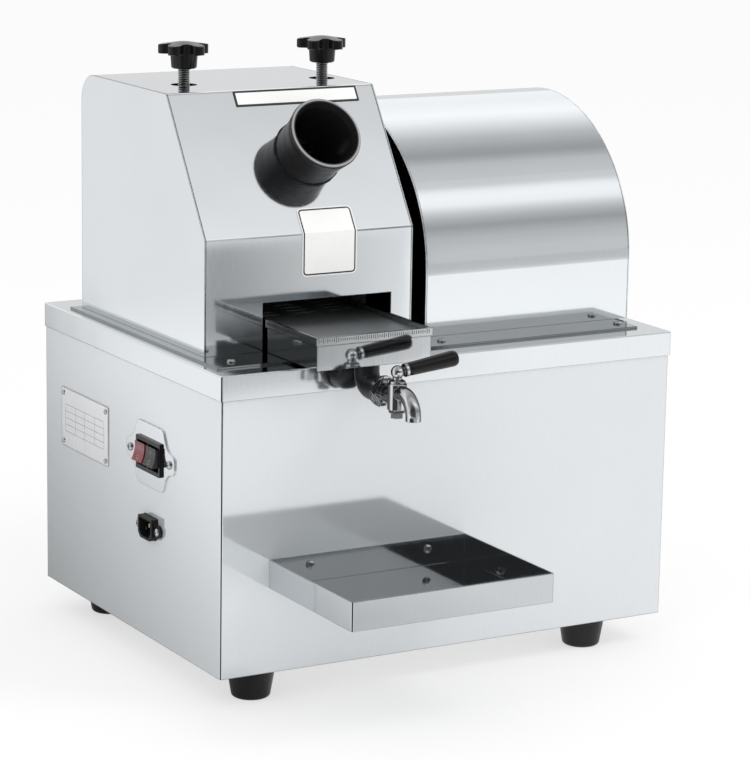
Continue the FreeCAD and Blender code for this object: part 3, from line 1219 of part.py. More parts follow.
def coupling_spider():
    """Rubber star between the jaws."""
    length = 2 * COUPLING_JAW + COUPLING_GAP - 2
    star = rod(Vector(0, 0, 0), Z_AXIS, length, COUPLING_RADIUS * 0.42)
    arms = []
    for arm in range(2 * COUPLING_JAWS):
        piece = box(0, COUPLING_RADIUS - 1, -1.3, 1.3, 0, length)
        piece.rotate(Vector(0, 0, 0), Z_AXIS, 180 * (arm + 0.5) / COUPLING_JAWS)
        arms.append(piece)
    return on_drive_axis(star.fuse(arms).removeSplitter(), COUPLING_LEFT + COUPLING_HUB + 1, 0)


def gearbox_bolt(x, y):
    """Foot bolt with its nut under the lid."""
    length = GEARBOX_FOOT + DECK_SHEET + SHEET + 8
    bolt = hex_bolt(Vector(x, y, DECK_TOP + GEARBOX_FOOT), Z_AXIS, GEARBOX_BOLT_RADIUS, length)
    nut = hexagon(Vector(x, y, LID_UNDER), Z_AXIS * -1, 1.5 * GEARBOX_BOLT_RADIUS, 1.6 * GEARBOX_BOLT_RADIUS)
    nut = nut.cut(rod(Vector(x, y, LID_UNDER + CUT), Z_AXIS * -1, 4 * CUT, GEARBOX_BOLT_RADIUS + PRESS_GAP))
    return [bolt, nut]


def gearbox_shaft():
    start = COUPLING_LEFT + COUPLING_HUB + 2 * COUPLING_JAW + COUPLING_GAP
    length = GEARBOX_LEFT - start + GEARBOX_LENGTH / 2
    return rod(Vector(start, REAR_ROLLER_Y, LOW_ROLLER_Z), X_AXIS, length, OUTPUT_SHAFT_RADIUS)


def gearbox():
    """Foot-mounted cast gearbox: rounded case, seal boss and two bolted feet."""
    y, z = REAR_ROLLER_Y, LOW_ROLLER_Z
    half = GEARBOX_HALF
    x0, x1 = GEARBOX_LEFT, GEARBOX_LEFT + GEARBOX_LENGTH
    case = prism_x(rectangle(y - half, y + half, DECK_TOP, z + half), [0, 0, half * 0.7, half * 0.7], x0, x1)
    feet = prism_x(rectangle(y - half - GEARBOX_FOOT_REACH, y + half + GEARBOX_FOOT_REACH,
                             DECK_TOP, DECK_TOP + GEARBOX_FOOT), [0, 0, 3, 3], x0, x1)
    boss = rod(Vector(x0 - 5, y, z), X_AXIS, 6, GEARBOX_SEAL_RADIUS)
    case = case.fuse([feet, boss]).removeSplitter()
    cuts = [rod(Vector(x0 - 3 * CUT, y, z), X_AXIS, 3 * CUT + GEARBOX_LENGTH / 2 + SEAT_GAP,
                OUTPUT_SHAFT_RADIUS + RUN_GAP)]
    for bx, by in gearbox_bolt_spots():
        cuts.append(rod(Vector(bx, by, DECK_TOP - CUT), Z_AXIS, GEARBOX_FOOT + 2 * CUT,
                        GEARBOX_BOLT_RADIUS + SCREW_GAP))
    return case.cut(Part.makeCompound(cuts))


def motor_body():
    """Finned motor frame with a square-edged mounting flange."""
    y, z = REAR_ROLLER_Y, LOW_ROLLER_Z
    points = []
    for index in range(2 * MOTOR_FIN_COUNT):
        for share in (0.15, 0.85):
            angle = math.pi * (index + share) / MOTOR_FIN_COUNT
            radius = MOTOR_RADIUS - MOTOR_FIN_DEPTH * (index % 2)
            points.append(Vector(0, radius * math.cos(angle), radius * math.sin(angle)))
    outline = Part.makePolygon(points + points[:1])
    frame = Part.Face(outline).extrude(Vector(MOTOR_LENGTH - MOTOR_FLANGE, 0, 0))
    frame.translate(Vector(MOTOR_LEFT + MOTOR_FLANGE, y, z))
    flange = rod(Vector(MOTOR_LEFT, y, z), X_AXIS, MOTOR_FLANGE + 1, MOTOR_RADIUS)
    return frame.fuse(flange)


def motor_end_cap():
    x = MOTOR_LEFT + MOTOR_LENGTH
    profile = [(0, 0), (MOTOR_RADIUS - 1, 0), (MOTOR_RADIUS - 1, MOTOR_CAP_LENGTH - 5),
               (MOTOR_RADIUS - 6, MOTOR_CAP_LENGTH), (0, MOTOR_CAP_LENGTH)]
    return turned(profile, Vector(x, REAR_ROLLER_Y, LOW_ROLLER_Z), X_AXIS)


# ---------------------------------------------------------------- power switch
def switch_plate():
    """Polished backing plate with hollow flanks and an ear for each screw."""
    high, wide = SWITCH_PLATE_HALF_HEIGHT, SWITCH_PLATE_HALF_WIDTH
    ear, ear_high = SWITCH_EAR, SWITCH_EAR_HALF_HEIGHT
    waist = wide + (ear - wide) * 0.35
    right = [(wide, -high), (waist, -1.5 * ear_high), (ear, -ear_high),
             (ear, ear_high), (waist, 1.5 * ear_high), (wide, high)]
    left = [(-u, -v) for u, v in right]
    outline = [(SWITCH_Y + u, SWITCH_Z + v) for u, v in right + left]
    x0 = WALL_X - SWITCH_PLATE
    plate = prism_x(outline, [7, 16, 6, 6, 16, 7] * 2, x0, WALL_X)
    window = switch_window(x0 - CUT, WALL_X + CUT, SCREW_GAP)
    holes = [rod(Vector(x0 - CUT, SWITCH_Y + side * SWITCH_SCREW_HALF, SWITCH_Z), X_AXIS, 3 * CUT,
                 PAN_SHANK_RADIUS + SCREW_GAP) for side in (-1, 1)]
    return plate.cut(Part.makeCompound([window] + holes))


def switch_window(x0, x1, gap):
    """Box of the switch's case; gap makes it the hole that the case goes through."""
    wide = BEZEL_HALF_WIDTH - CASE_INSET + gap
    high = BEZEL_HALF_HEIGHT - CASE_INSET + gap
    return box(x0, x1, SWITCH_Y - wide, SWITCH_Y + wide, SWITCH_Z - high, SWITCH_Z + high)


def switch_front():
    return WALL_X - SWITCH_PLATE - BEZEL_PROUD


def switch_bezel():
    """Double switch: framed bezel outside, case through the wall, an open well for each rocker."""
    front = switch_front()
    face = WALL_X - SWITCH_PLATE
    w, h = BEZEL_HALF_WIDTH, BEZEL_HALF_HEIGHT
    frame = prism_x(rectangle(SWITCH_Y - w, SWITCH_Y + w, SWITCH_Z - h, SWITCH_Z + h), [1.5] * 4, front, face)
    body = frame.fuse(switch_window(face, WALL_X + BEZEL_DEPTH, 0))
    high = BEZEL_HALF_HEIGHT - BEZEL_TOP_RIM
    half = ROCKER_WIDTH / 2 + ROCKER_GAP
    wells = []
    pins = []
    for side in (-1, 1):
        y = SWITCH_Y + side * ROCKER_OFFSET
        wells.append(box(front - CUT, WALL_X + BEZEL_DEPTH - CASE_FLOOR, y - half, y + half,
                         SWITCH_Z - high, SWITCH_Z + high))
        for end in (-1, 1):
            start = Vector(ROCKER_PIVOT_X, y + end * (half + CASE_INSET / 2), SWITCH_Z)
            length = CASE_INSET / 2 + ROCKER_GAP + ROCKER_PIN_BITE
            pins.append(rod(start, Y_AXIS * -end, length, ROCKER_PIN_RADIUS))
    return body.cut(wells).fuse(pins).removeSplitter()


def rocker(side):
    """Rocker with a dished face, tipped so that its lower half stands out."""
    y = SWITCH_Y + side * ROCKER_OFFSET
    half = ROCKER_WIDTH / 2
    x = ROCKER_PIVOT_X
    narrow = 0.72 * ROCKER_REACH
    outline = [(x - ROCKER_FACE, SWITCH_Z - ROCKER_REACH), (x - ROCKER_FACE, SWITCH_Z + ROCKER_REACH),
               (x + 1, SWITCH_Z + narrow), (x + ROCKER_KEEL, SWITCH_Z), (x + 1, SWITCH_Z - narrow)]
    body = prism_y(outline, [1, 1, 2, 3, 2], y - half, y + half)
    sagitta = ROCKER_DISH - math.sqrt(ROCKER_DISH ** 2 - ROCKER_REACH ** 2)
    dish = rod(Vector(x - ROCKER_FACE - ROCKER_DISH + sagitta, y - half - CUT, SWITCH_Z), Y_AXIS,
               2 * half + 2 * CUT, ROCKER_DISH)
    holes = []
    for end in (-1, 1):
        start = Vector(x, y + end * (half + 1), SWITCH_Z)
        holes.append(rod(start, Y_AXIS * -end, 1 + ROCKER_PIN_BITE + SEAT_GAP, ROCKER_PIN_RADIUS + RUN_GAP))
    body = body.cut([dish] + holes)
    return body.rotate(Vector(x, y, SWITCH_Z), Y_AXIS, ROCKER_TILT / 2)


# ---------------------------------------------------------------- power inlet
def inlet_outline(grow):
    """Six-sided inlet outline in Y and Z, its two lower corners cut off."""
    w, h, c = INLET_HALF_WIDTH + grow, INLET_HALF_HEIGHT + grow, INLET_CORNER
    shape = [(-w + c, -h), (w - c, -h), (w, -h + c), (w, h), (-w, h), (-w, -h + c)]
    return [(INLET_Y + u, INLET_Z + v) for u, v in shape], [1.5] * 6


def inlet_front():
    return WALL_X - INLET_PROUD


def inlet_body():
    """Appliance inlet: shroud with a socket, two screw bosses and a rear case."""
    front = inlet_front()
    points, radii = inlet_outline(0)
    shroud = prism_x(points, radii, front, WALL_X + INLET_BODY_DEPTH - INLET_PROUD)
    bosses = []
    for side in (-1, 1):
        y = INLET_Y + side * INLET_SCREW_HALF
        start = Vector(WALL_X - INLET_BOSS_THICKNESS, y, INLET_Z)
        bosses.append(rod(start, X_AXIS, INLET_BOSS_THICKNESS, INLET_BOSS_RADIUS))
        bosses.append(box(WALL_X - INLET_BOSS_THICKNESS, WALL_X, min(y, INLET_Y), max(y, INLET_Y),
                          INLET_Z - INLET_BOSS_RADIUS, INLET_Z + INLET_BOSS_RADIUS))
    body = shroud.fuse(bosses).removeSplitter()
    points, radii = inlet_outline(-INLET_WALL)
    socket = prism_x(points, radii, front - CUT, front + INLET_SOCKET_DEPTH)
    holes = [rod(Vector(WALL_X - INLET_PROUD, INLET_Y + side * INLET_SCREW_HALF, INLET_Z), X_AXIS,
                 INLET_PROUD + CUT, PAN_SHANK_RADIUS + SCREW_GAP) for side in (-1, 1)]
    return body.cut(Part.makeCompound([socket] + holes))


def inlet_pins():
    """Three flat contact pins standing on the socket's floor."""
    base = inlet_front() + INLET_SOCKET_DEPTH
    pins = []
    for y, z in ((-PIN_SPREAD, -PIN_OFFSET), (PIN_SPREAD, -PIN_OFFSET), (0, PIN_OFFSET)):
        pins.append(prism_x(rectangle(INLET_Y + y - PIN_THICKNESS / 2, INLET_Y + y + PIN_THICKNESS / 2,
                                      INLET_Z + z - PIN_WIDTH / 2, INLET_Z + z + PIN_WIDTH / 2),
                            [0.5] * 4, base - PIN_LENGTH, base))
    return pins


# ---------------------------------------------------------------- all the pieces
def add_cabinet():
    add("cabinet_shell", cabinet_shell())
    add("back_panel", back_panel())
    add("base_pan", base_pan())
    add("lid", lid())
    add("deck_plate", deck_plate())
    add("rubber_feet", *[rubber_foot(x, y) for x, y in foot_spots()])
    add("foot_screws", *[foot_screw(x, y) for x, y in foot_spots()])


def add_roller_unit():
    sides = (("left", -1), ("right", 1))
    for name, side in sides:
        add("roller_frame_%s" % name, roller_frame(side))
        add("pressure_screw_%s" % name, pressure_screw(side))
        add("star_knob_%s" % name, star_knob(side))
    add("frame_caps", *[frame_cap(side) for _, side in sides])
    add("bearing_blocks", *[bearing_block(side) for _, side in sides])
    low = [roller_positions()[name] for name in ("front", "rear")]
    add("lower_bushes", *[bush(side, y, z) for _, side in sides for y, z in low])
    add("upper_bushes", *[bush(side, TOP_ROLLER_Y, TOP_ROLLER_Z) for _, side in sides])
    for name in ("front", "rear", "top"):
        add("%s_roller" % name, roller(name))
        add("%s_gear" % name, roller_gear(name))
    add("cap_bolts", *[hex_bolt(seat, Z_AXIS, CAP_BOLT_RADIUS, CAP_HEIGHT + CAP_BOLT_DEPTH - 1)
                         for _, side in sides for seat in cap_bolt_seats(side)])
    upright = [hex_bolt(Vector(x, y, LID_UNDER), Z_AXIS * -1, FRAME_BOLT_RADIUS,
                        SHEET + DECK_SHEET + FRAME_BOLT_DEPTH - 1) for x, y in frame_bolt_spots()]
    level = [tie_bar_screw(side, y, z) for _, side in sides for y, z in tie_bar_spots()]
    add("frame_bolts", *(upright + level))
    add("tie_bars", *[tie_bar(y, z) for y, z in tie_bar_spots()])
    add("turner_bar", turner_bar())


def add_housing():
    add("housing_wrap", housing_wrap())
    add("housing_left_end", housing_end(HOUSING_LEFT))
    add("housing_right_end", housing_right_end())
    add("feed_tube", feed_tube())
    add("residue_chute", residue_chute())


def add_trough_and_tap():
    add("juice_trough", juice_trough())
    add("strainer", strainer())
    add("drain_elbow", drain_elbow())
    add("drain_nut", drain_nut())
    add("tap_locknut", tap_locknut())
    add("tap_body", tap_body())
    add("tap_plug", tap_plug())
    add("tap_tail_nut", tap_tail_nut())
    add("tap_lever_rod", lever_rod())
    add("tap_lever_grip", lever_grip())


def add_motor():
    add("motor_cover_wrap", motor_cover_wrap())
    add("motor_cover_left_end", motor_cover_left_end())
    add("motor_cover_right_end", motor_cover_right_end())
    add("coupling_hubs", *coupling_hubs())
    add("coupling_spider", coupling_spider())
    add("gearbox_shaft", gearbox_shaft())
    add("gearbox", gearbox())
    add("gearbox_bolts", *[solid for x, y in gearbox_bolt_spots() for solid in gearbox_bolt(x, y)])
    add("motor_body", motor_body())
    add("motor_end_cap", motor_end_cap())


def add_front_and_side_fittings():
    add("drip_tray", drip_tray())
    add("switch_plate", switch_plate())
    add("switch_bezel", switch_bezel())
    add("power_rocker", rocker(1))
    add("direction_rocker", rocker(-1))
    add("inlet_body", inlet_body())
    add("inlet_pins", *inlet_pins())


def add_pan_screws():
    """The same screw on the deck, in the drip tray and beside the switch and the inlet."""
    screws = [pan_screw(seat, Z_AXIS) for seat in deck_screw_seats()]
    screws += [pan_screw(seat, Y_AXIS * -1) for seat in tray_screw_seats()]
    for side in (-1, 1):
        seat = Vector(WALL_X - SWITCH_PLATE, SWITCH_Y + side * SWITCH_SCREW_HALF, SWITCH_Z)
        screws.append(pan_screw(seat, X_AXIS * -1))
        seat = Vector(WALL_X - INLET_BOSS_THICKNESS, INLET_Y + side * INLET_SCREW_HALF, INLET_Z)
        screws.append(pan_screw(seat, X_AXIS * -1))
    add("pan_screws", *screws)


def export_pieces():
    """Every piece, moved so that the origin is on the floor under the middle of the machine."""
    whole = Part.makeCompound(list(pieces.values())).optimalBoundingBox(False)
    move = Vector(-(whole.XMin + whole.XMax) / 2, -(whole.YMin + whole.YMax) / 2, -whole.ZMin)
    os.makedirs("parts", exist_ok=True)
    for node, shape in pieces.items():
        shape.translate(move)
        shape.exportStep("parts/%s.step" % node)
    return move


pieces = {}
add_cabinet()
add_roller_unit()
add_housing()
add_trough_and_tap()
add_motor()
add_front_and_side_fittings()
add_pan_screws()
origin_move = export_pieces()
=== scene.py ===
from math import cos, pi, radians, sin, sqrt

import bmesh
import bpy
from mathutils import Matrix, Vector


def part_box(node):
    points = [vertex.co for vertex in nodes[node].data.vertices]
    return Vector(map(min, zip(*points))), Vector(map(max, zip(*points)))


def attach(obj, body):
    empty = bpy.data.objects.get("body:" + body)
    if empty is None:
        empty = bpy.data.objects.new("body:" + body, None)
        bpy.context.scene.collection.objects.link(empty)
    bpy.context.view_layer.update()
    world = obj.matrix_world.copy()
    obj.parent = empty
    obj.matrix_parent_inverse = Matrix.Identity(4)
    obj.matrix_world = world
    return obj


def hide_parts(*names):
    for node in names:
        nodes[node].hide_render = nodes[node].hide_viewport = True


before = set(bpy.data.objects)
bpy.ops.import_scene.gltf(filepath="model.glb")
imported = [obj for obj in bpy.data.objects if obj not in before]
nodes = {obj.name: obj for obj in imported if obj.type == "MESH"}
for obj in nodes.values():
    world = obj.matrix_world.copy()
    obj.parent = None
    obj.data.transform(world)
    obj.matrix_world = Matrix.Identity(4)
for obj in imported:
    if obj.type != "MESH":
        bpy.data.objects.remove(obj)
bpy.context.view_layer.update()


# ---------------------------------------------------------------- studio
# The machine stands on a pale floor in a light tent. In mirror images the floor carries painted
# shade, and two cards seen only in mirrors paint a dark and a grey reflection. A long lens
# looks down on it from the front left, from a little above the height of its lid.
def in_scene(name, data):
    """An object of a mesh, a lamp or a lens in the scene."""
    made = bpy.data.objects.new(name, data)
    bpy.context.scene.collection.objects.link(made)
    return made


def add_node(tree, kind, where=None, **settings):
    """A node with its plain settings, and its inputs from the dictionary where."""
    made = tree.nodes.new(kind)
    for name, value in settings.items():
        setattr(made, name, value)
    for socket, value in (where or {}).items():
        if isinstance(value, bpy.types.NodeSocket):
            tree.links.new(value, made.inputs[socket])
        else:
            made.inputs[socket].default_value = value
    return made


def reckon(tree, operation, *values):
    """The outcome of one sum on up to three levels."""
    return add_node(tree, "ShaderNodeMath", dict(enumerate(values)), operation=operation).outputs[0]


def measure(tree, operation, first, second):
    """The single level that a sum on two vectors gives, such as their distance."""
    return add_node(tree, "ShaderNodeVectorMath", {0: first, 1: second}, operation=operation).outputs["Value"]


def spread(tree, value, low, high, at_low=0.0, at_high=1.0):
    """A level that runs from at_low to at_high while the value runs from low to high."""
    return add_node(tree, "ShaderNodeMapRange", {"Value": value, "From Min": low, "From Max": high,
                                                 "To Min": at_low, "To Max": at_high}).outputs[0]


def ramp(tree, factor, stops):
    """A grey ramp through stops of place and level."""
    made = add_node(tree, "ShaderNodeValToRGB", {"Fac": factor})
    band = made.color_ramp
    while len(band.elements) < len(stops):
        band.elements.new(0.5)
    for element, (place, level) in zip(band.elements, stops):
        element.position = place
        element.color = (level, level, level, 1)
    return made.outputs["Color"]


def blank_material(name):
    """A new material with its node tree and its shader."""
    made = bpy.data.materials.new(name)
    made.use_nodes = True
    return made, made.node_tree, made.node_tree.nodes["Principled BSDF"]


def stage_plane(name, corners):
    """A flat piece of the studio."""
    mesh = bpy.data.meshes.new(name)
    mesh.from_pydata(corners, [], [tuple(range(len(corners)))])
    made = in_scene(name, mesh)
    return made


lid_low, lid_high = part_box("lid")
cabinet = Vector(((lid_low.x + lid_high.x) / 2, (lid_low.y + lid_high.y) / 2, 0))
turn, rise, roll = radians(-29.9206), radians(12.2116), radians(0.973)
looked_at = Vector((0.0267735, 0, 0.2521338))
lens_distance = 3.10166
back = Vector((sin(turn) * cos(rise), -cos(turn) * cos(rise), sin(rise)))
right = Vector((0, 0, 1)).cross(back).normalized()
up = back.cross(right)
across = right * cos(roll) + up * sin(roll)
upward = up * cos(roll) - right * sin(roll)
lens = bpy.data.cameras.new("camera")
lens.lens = 144.59
lens.sensor_width = 36
camera = in_scene("camera", lens)
camera.matrix_world = Matrix((across, upward, back)).transposed().to_4x4()
camera.location = cabinet + looked_at + back * lens_distance
bpy.context.scene.camera = camera
bpy.context.scene.view_settings.view_transform = "Standard"

world = bpy.data.worlds.new("light_tent")
bpy.context.scene.world = world
world.use_nodes = True
tent = world.node_tree
direction = add_node(tent, "ShaderNodeTexCoord").outputs["Generated"]
split = add_node(tent, "ShaderNodeSeparateXYZ", {0: direction}).outputs
tent_angle = reckon(tent, "ARCTAN2", split["Z"], reckon(tent, "MULTIPLY", split["Y"], -1.0))
tent_panels = [(0.0, 0.61), (0.03, 0.61), (0.09, 0.52), (0.14, 0.37), (0.175, 0.5), (0.2, 0.66),
               (0.235, 0.99), (0.27, 1.04), (0.295, 0.98), (0.325, 0.68), (0.42, 0.56), (0.445, 0.44),
               (0.465, 0.37), (0.49, 0.4), (0.555, 0.56), (0.62, 0.84), (0.66, 1.0), (0.7, 1.1),
               (0.8, 1.0), (0.9, 1.0), (0.915, 0.74), (1.0, 0.74)]
panels = ramp(tent, reckon(tent, "DIVIDE", tent_angle, pi), tent_panels)
dark_within, bright_beyond = radians(28), radians(53)
toward_lens = measure(tent, "DOT_PRODUCT", direction, back)
opening = spread(tent, toward_lens, cos(bright_beyond), cos(dark_within), 1.0, 0.12)
white = (1, 1, 1, 1)
soft, seen, shiny = [
    add_node(tent, "ShaderNodeBackground", {"Color": colour, "Strength": strength}).outputs[0]
    for colour, strength in ((white, 0.9), (white, 1.0), (reckon(tent, "MULTIPLY", panels, opening), 1.0))]
rays = add_node(tent, "ShaderNodeLightPath").outputs
mirrored = reckon(tent, "MAXIMUM", rays["Is Glossy Ray"], rays["Is Transmission Ray"])
lighting = add_node(tent, "ShaderNodeMixShader", {0: mirrored, 1: soft, 2: shiny}).outputs[0]
tent_light = add_node(tent, "ShaderNodeMixShader", {0: rays["Is Camera Ray"], 1: lighting, 2: seen})
tent.links.new(tent_light.outputs[0], tent.nodes["World Output"].inputs["Surface"])

floor_half = 9
floor = stage_plane("floor", [(-floor_half, -floor_half, 0), (floor_half, -floor_half, 0),
                              (floor_half, floor_half, 0), (-floor_half, floor_half, 0)])
paper, papered, paper_shader = blank_material("floor_paper")
spot = add_node(papered, "ShaderNodeTexCoord").outputs["Object"]
floor_x, floor_y, _ = add_node(papered, "ShaderNodeSeparateXYZ", {0: spot}).outputs
# In mirror images only, the floor is painted darker in places: painted shade far in front, under the lens and
# on the right, and painted shadow beside the machine's left and in front of the tray.
far_shade_stops = [(0.0167, 0.58), (0.092, 0.76), (0.167, 0.95), (0.25, 0.98), (0.72, 1.0), (0.8, 0.87)]
far_painted_shade = ramp(papered, spread(papered, floor_y, -3.0, 3.0), far_shade_stops)
left_slant, lens_foot, tray_front = (-1.0, -0.314, 0.0), (-1.2, -1.0, 0.0), (-0.02, -0.65, 0.0)
left_shade = spread(papered, measure(papered, "DOT_PRODUCT", spot, left_slant), 0.17, 0.41, 0.1, 1.0)
beside_left = reckon(papered, "MAXIMUM", spread(papered, floor_x, -0.27, -0.15),
                     spread(papered, floor_y, -0.25, -0.05, 1.0, 0.0))
left_shade = reckon(papered, "MAXIMUM", left_shade, beside_left)
shade_under_lens = spread(papered, measure(papered, "DISTANCE", spot, lens_foot), 0.6, 0.86, 0.05, 1.0)
shadow_before_tray = spread(papered, measure(papered, "DISTANCE", spot, tray_front), 0.03, 0.22, 0.74, 1.0)
shade_on_right = reckon(papered, "MULTIPLY", spread(papered, floor_x, 0.4, 0.86, 0.52, 0.0),
                   spread(papered, floor_y, -1.28, -1.38))
mirror_painted_shade = reckon(papered, "SUBTRACT", 1.0, shade_on_right)
for shade in (far_painted_shade, left_shade, shade_under_lens, shadow_before_tray):
    mirror_painted_shade = reckon(papered, "MULTIPLY", mirror_painted_shade, shade)
rays = add_node(papered, "ShaderNodeLightPath").outputs
tone = add_node(papered, "ShaderNodeMix", {"Factor": rays["Is Glossy Ray"], "A": 1.0, "B": mirror_painted_shade},
                data_type="FLOAT").outputs[0]
papered.links.new(tone, paper_shader.inputs["Base Color"])
paper_shader.inputs["Roughness"].default_value = 1.0
paper_shader.inputs["Specular IOR Level"].default_value = 0.0
bright_paper = add_node(papered, "ShaderNodeEmission", {"Color": tone, "Strength": 1.0})
watched = reckon(papered, "MAXIMUM", reckon(papered, "MAXIMUM", rays["Is Camera Ray"], rays["Is Glossy Ray"]),
                 rays["Is Transmission Ray"])
own_light = 0.6
own_part = reckon(papered, "MULTIPLY", watched, own_light)
paper_mix = add_node(papered, "ShaderNodeMixShader", {0: own_part, 1: paper_shader.outputs[0],
                                                      2: bright_paper.outputs[0]})
papered.links.new(paper_mix.outputs[0], papered.nodes["Material Output"].inputs["Surface"])
floor.data.materials.append(paper)

# Two cards in front of the machine are seen only in its mirror-polished sheets: the black one paints a dark
# reflection, and the grey one glows to paint a graded reflection.
cards_y = -0.92
flag_outline = [(0.398, 0.338), (0.505, 0.338), (0.505, 0.62), (0.45, 0.62), (0.42, 0.538), (0.27, 0.535),
                (0.27, 0.46), (0.5, 0.46), (0.5, 0.4)]
flag = stage_plane("black_flag", [(x, cards_y, z) for x, z in flag_outline])
felt, _, felt_shader = blank_material("black_felt")
felt_shader.inputs["Base Color"].default_value = (0.01, 0.01, 0.01, 1)
felt_shader.inputs["Specular IOR Level"].default_value = 0.0
flag.data.materials.append(felt)
card_outline = [(0.2, 0.135), (0.505, 0.135), (0.505, 0.26), (0.2, 0.26)]
card = stage_plane("grey_card", [(x, cards_y, z) for x, z in card_outline])
graded, faded, _ = blank_material("graded_card")
place = add_node(faded, "ShaderNodeTexCoord").outputs["Object"]
card_x = add_node(faded, "ShaderNodeSeparateXYZ", {0: place}).outputs["X"]
glow = spread(faded, card_x, 0.24, 0.48, 0.36, 0.76)
lit_card = add_node(faded, "ShaderNodeEmission", {"Strength": glow})
faded.links.new(lit_card.outputs[0], faded.nodes["Material Output"].inputs["Surface"])
card.data.materials.append(graded)
for mirrored_card in (flag, card):
    mirrored_card.visible_camera = mirrored_card.visible_diffuse = False
    mirrored_card.visible_shadow = mirrored_card.visible_transmission = False

lamp_lift = Vector((0, 0, 0.25))
for name, place, size, power in (("key_lamp", (1.6, -1.7, 2.4), 1.2, 22.0),
                                 ("fill_lamp", (-2.0, -1.2, 1.6), 1.5, 7.0)):
    lamp = bpy.data.lights.new(name, "AREA")
    lamp.shape = "SQUARE"
    lamp.size = size
    lamp.energy = power
    holder = in_scene(name, lamp)
    holder.matrix_world = Vector(place).to_track_quat("Z", "Y").to_matrix().to_4x4()
    holder.location = Vector(place) + lamp_lift
    holder.visible_glossy = False


# ---------------------------------------------------------------- cabinet and lid
# The walls and the lid tray are folded from 1.2 mm stainless sheet with a mirror polish.
# Large faces waver a little, and a painted dark reflection runs along folds and cut edges. The back
# panel and the base pan are plain mill sheet.
def shader_group(name, inputs, outputs):
    """An empty shader group with the given inputs and outputs."""
    made = bpy.data.node_groups.new(name, "ShaderNodeTree")
    for socket, kind, value in inputs:
        item = made.interface.new_socket(socket, in_out="INPUT", socket_type="NodeSocket" + kind)
        item.default_value = value
    for socket, kind in outputs:
        made.interface.new_socket(socket, in_out="OUTPUT", socket_type="NodeSocket" + kind)
    return made, made.nodes.new("NodeGroupInput").outputs, made.nodes.new("NodeGroupOutput").inputs


surface, given, put = shader_group("surface_grain", [
    ("Colour", "Color", (0.8, 0.8, 0.8, 1)), ("Colour Change", "Float", 0.1),
    ("Grain", "Vector", (900.0, 900.0, 900.0)), ("Grain Depth", "Float", 0.00001),
    ("Wave Scale", "Float", 5.0), ("Wave Depth", "Float", 0.0),
    ("Roughness", "Float", 0.4), ("Roughness Change", "Float", 0.1)],
    [("Colour", "Color"), ("Roughness", "Float"), ("Height", "Float")])
place = add_node(surface, "ShaderNodeTexCoord").outputs["Object"]
stretched = add_node(surface, "ShaderNodeVectorMath", {0: place, 1: given["Grain"]}, operation="MULTIPLY")
fine = add_node(surface, "ShaderNodeTexNoise", {"Vector": stretched.outputs[0], "Scale": 1.0, "Detail": 3.0})
wide = add_node(surface, "ShaderNodeTexNoise", {"Vector": place, "Scale": given["Wave Scale"], "Detail": 2.0})
level, drift = [spread(surface, noise.outputs["Fac"], 0.3, 0.7, -0.5, 0.5) for noise in (fine, wide)]
change = reckon(surface, "ADD", level, drift)
gain = reckon(surface, "MULTIPLY_ADD", change, given["Colour Change"], 1.0)
tinted = add_node(surface, "ShaderNodeVectorMath", {0: given["Colour"], "Scale": gain}, operation="SCALE")
surface.links.new(tinted.outputs[0], put["Colour"])
rough = reckon(surface, "MULTIPLY_ADD", change, given["Roughness Change"], given["Roughness"])
rough.node.use_clamp = True
surface.links.new(rough, put["Roughness"])
grain_height = reckon(surface, "MULTIPLY", level, given["Grain Depth"])
height = reckon(surface, "MULTIPLY_ADD", wide.outputs["Fac"], given["Wave Depth"], grain_height)
surface.links.new(height, put["Height"])

edge_wear_and_reflection, given, put = shader_group("edge_wear_and_reflection", [
    ("Width", "Float", 0.001), ("Breakup", "Float", 120.0), ("Gap Level", "Float", 0.35),
    ("Full Level", "Float", 0.6), ("Bend Dark Reflection", "Float", 0.0)], [("Mask", "Float")])
rounded = add_node(edge_wear_and_reflection, "ShaderNodeBevel", {"Radius": given["Width"]}, samples=4).outputs[0]
flat = add_node(edge_wear_and_reflection, "ShaderNodeNewGeometry").outputs["Normal"]
flat_enough, turned_over = 0.995, 0.85
near = spread(edge_wear_and_reflection, measure(edge_wear_and_reflection, "DOT_PRODUCT", rounded, flat), flat_enough, turned_over)
place = add_node(edge_wear_and_reflection, "ShaderNodeTexCoord").outputs["Object"]
spots = add_node(edge_wear_and_reflection, "ShaderNodeTexNoise", {"Vector": place, "Scale": given["Breakup"], "Detail": 3.0})
broken = spread(edge_wear_and_reflection, spots.outputs["Fac"], given["Gap Level"], given["Full Level"])
wear_and_dark_reflection_mask = reckon(edge_wear_and_reflection, "MULTIPLY", near, broken)
facing_x, facing_y, _ = add_node(edge_wear_and_reflection, "ShaderNodeSeparateXYZ", {0: flat}).outputs
turned = reckon(edge_wear_and_reflection, "ABSOLUTE", reckon(edge_wear_and_reflection, "MULTIPLY", facing_x, facing_y))
# Along upright folds, where the sheet turns between facing X and facing Y, a painted dark reflection line.
bend_start, bend_full = 0.36, 0.44
bend_dark_reflection = spread(edge_wear_and_reflection, turned, bend_start, bend_full, 0.0, given["Bend Dark Reflection"])
edge_wear_and_reflection.links.new(reckon(edge_wear_and_reflection, "MAXIMUM", wear_and_dark_reflection_mask, bend_dark_reflection), put["Mask"])


def recolour(tree, mask, colour):
    """Another base colour where the mask is one, over the colour that the shader has."""
    base = tree.nodes["Principled BSDF"].inputs["Base Color"]
    mixed = add_node(tree, "ShaderNodeMix", {0: mask, 6: base.links[0].from_socket, 7: (*colour, 1)},
                     data_type="RGBA")
    tree.links.new(mixed.outputs[2], base)


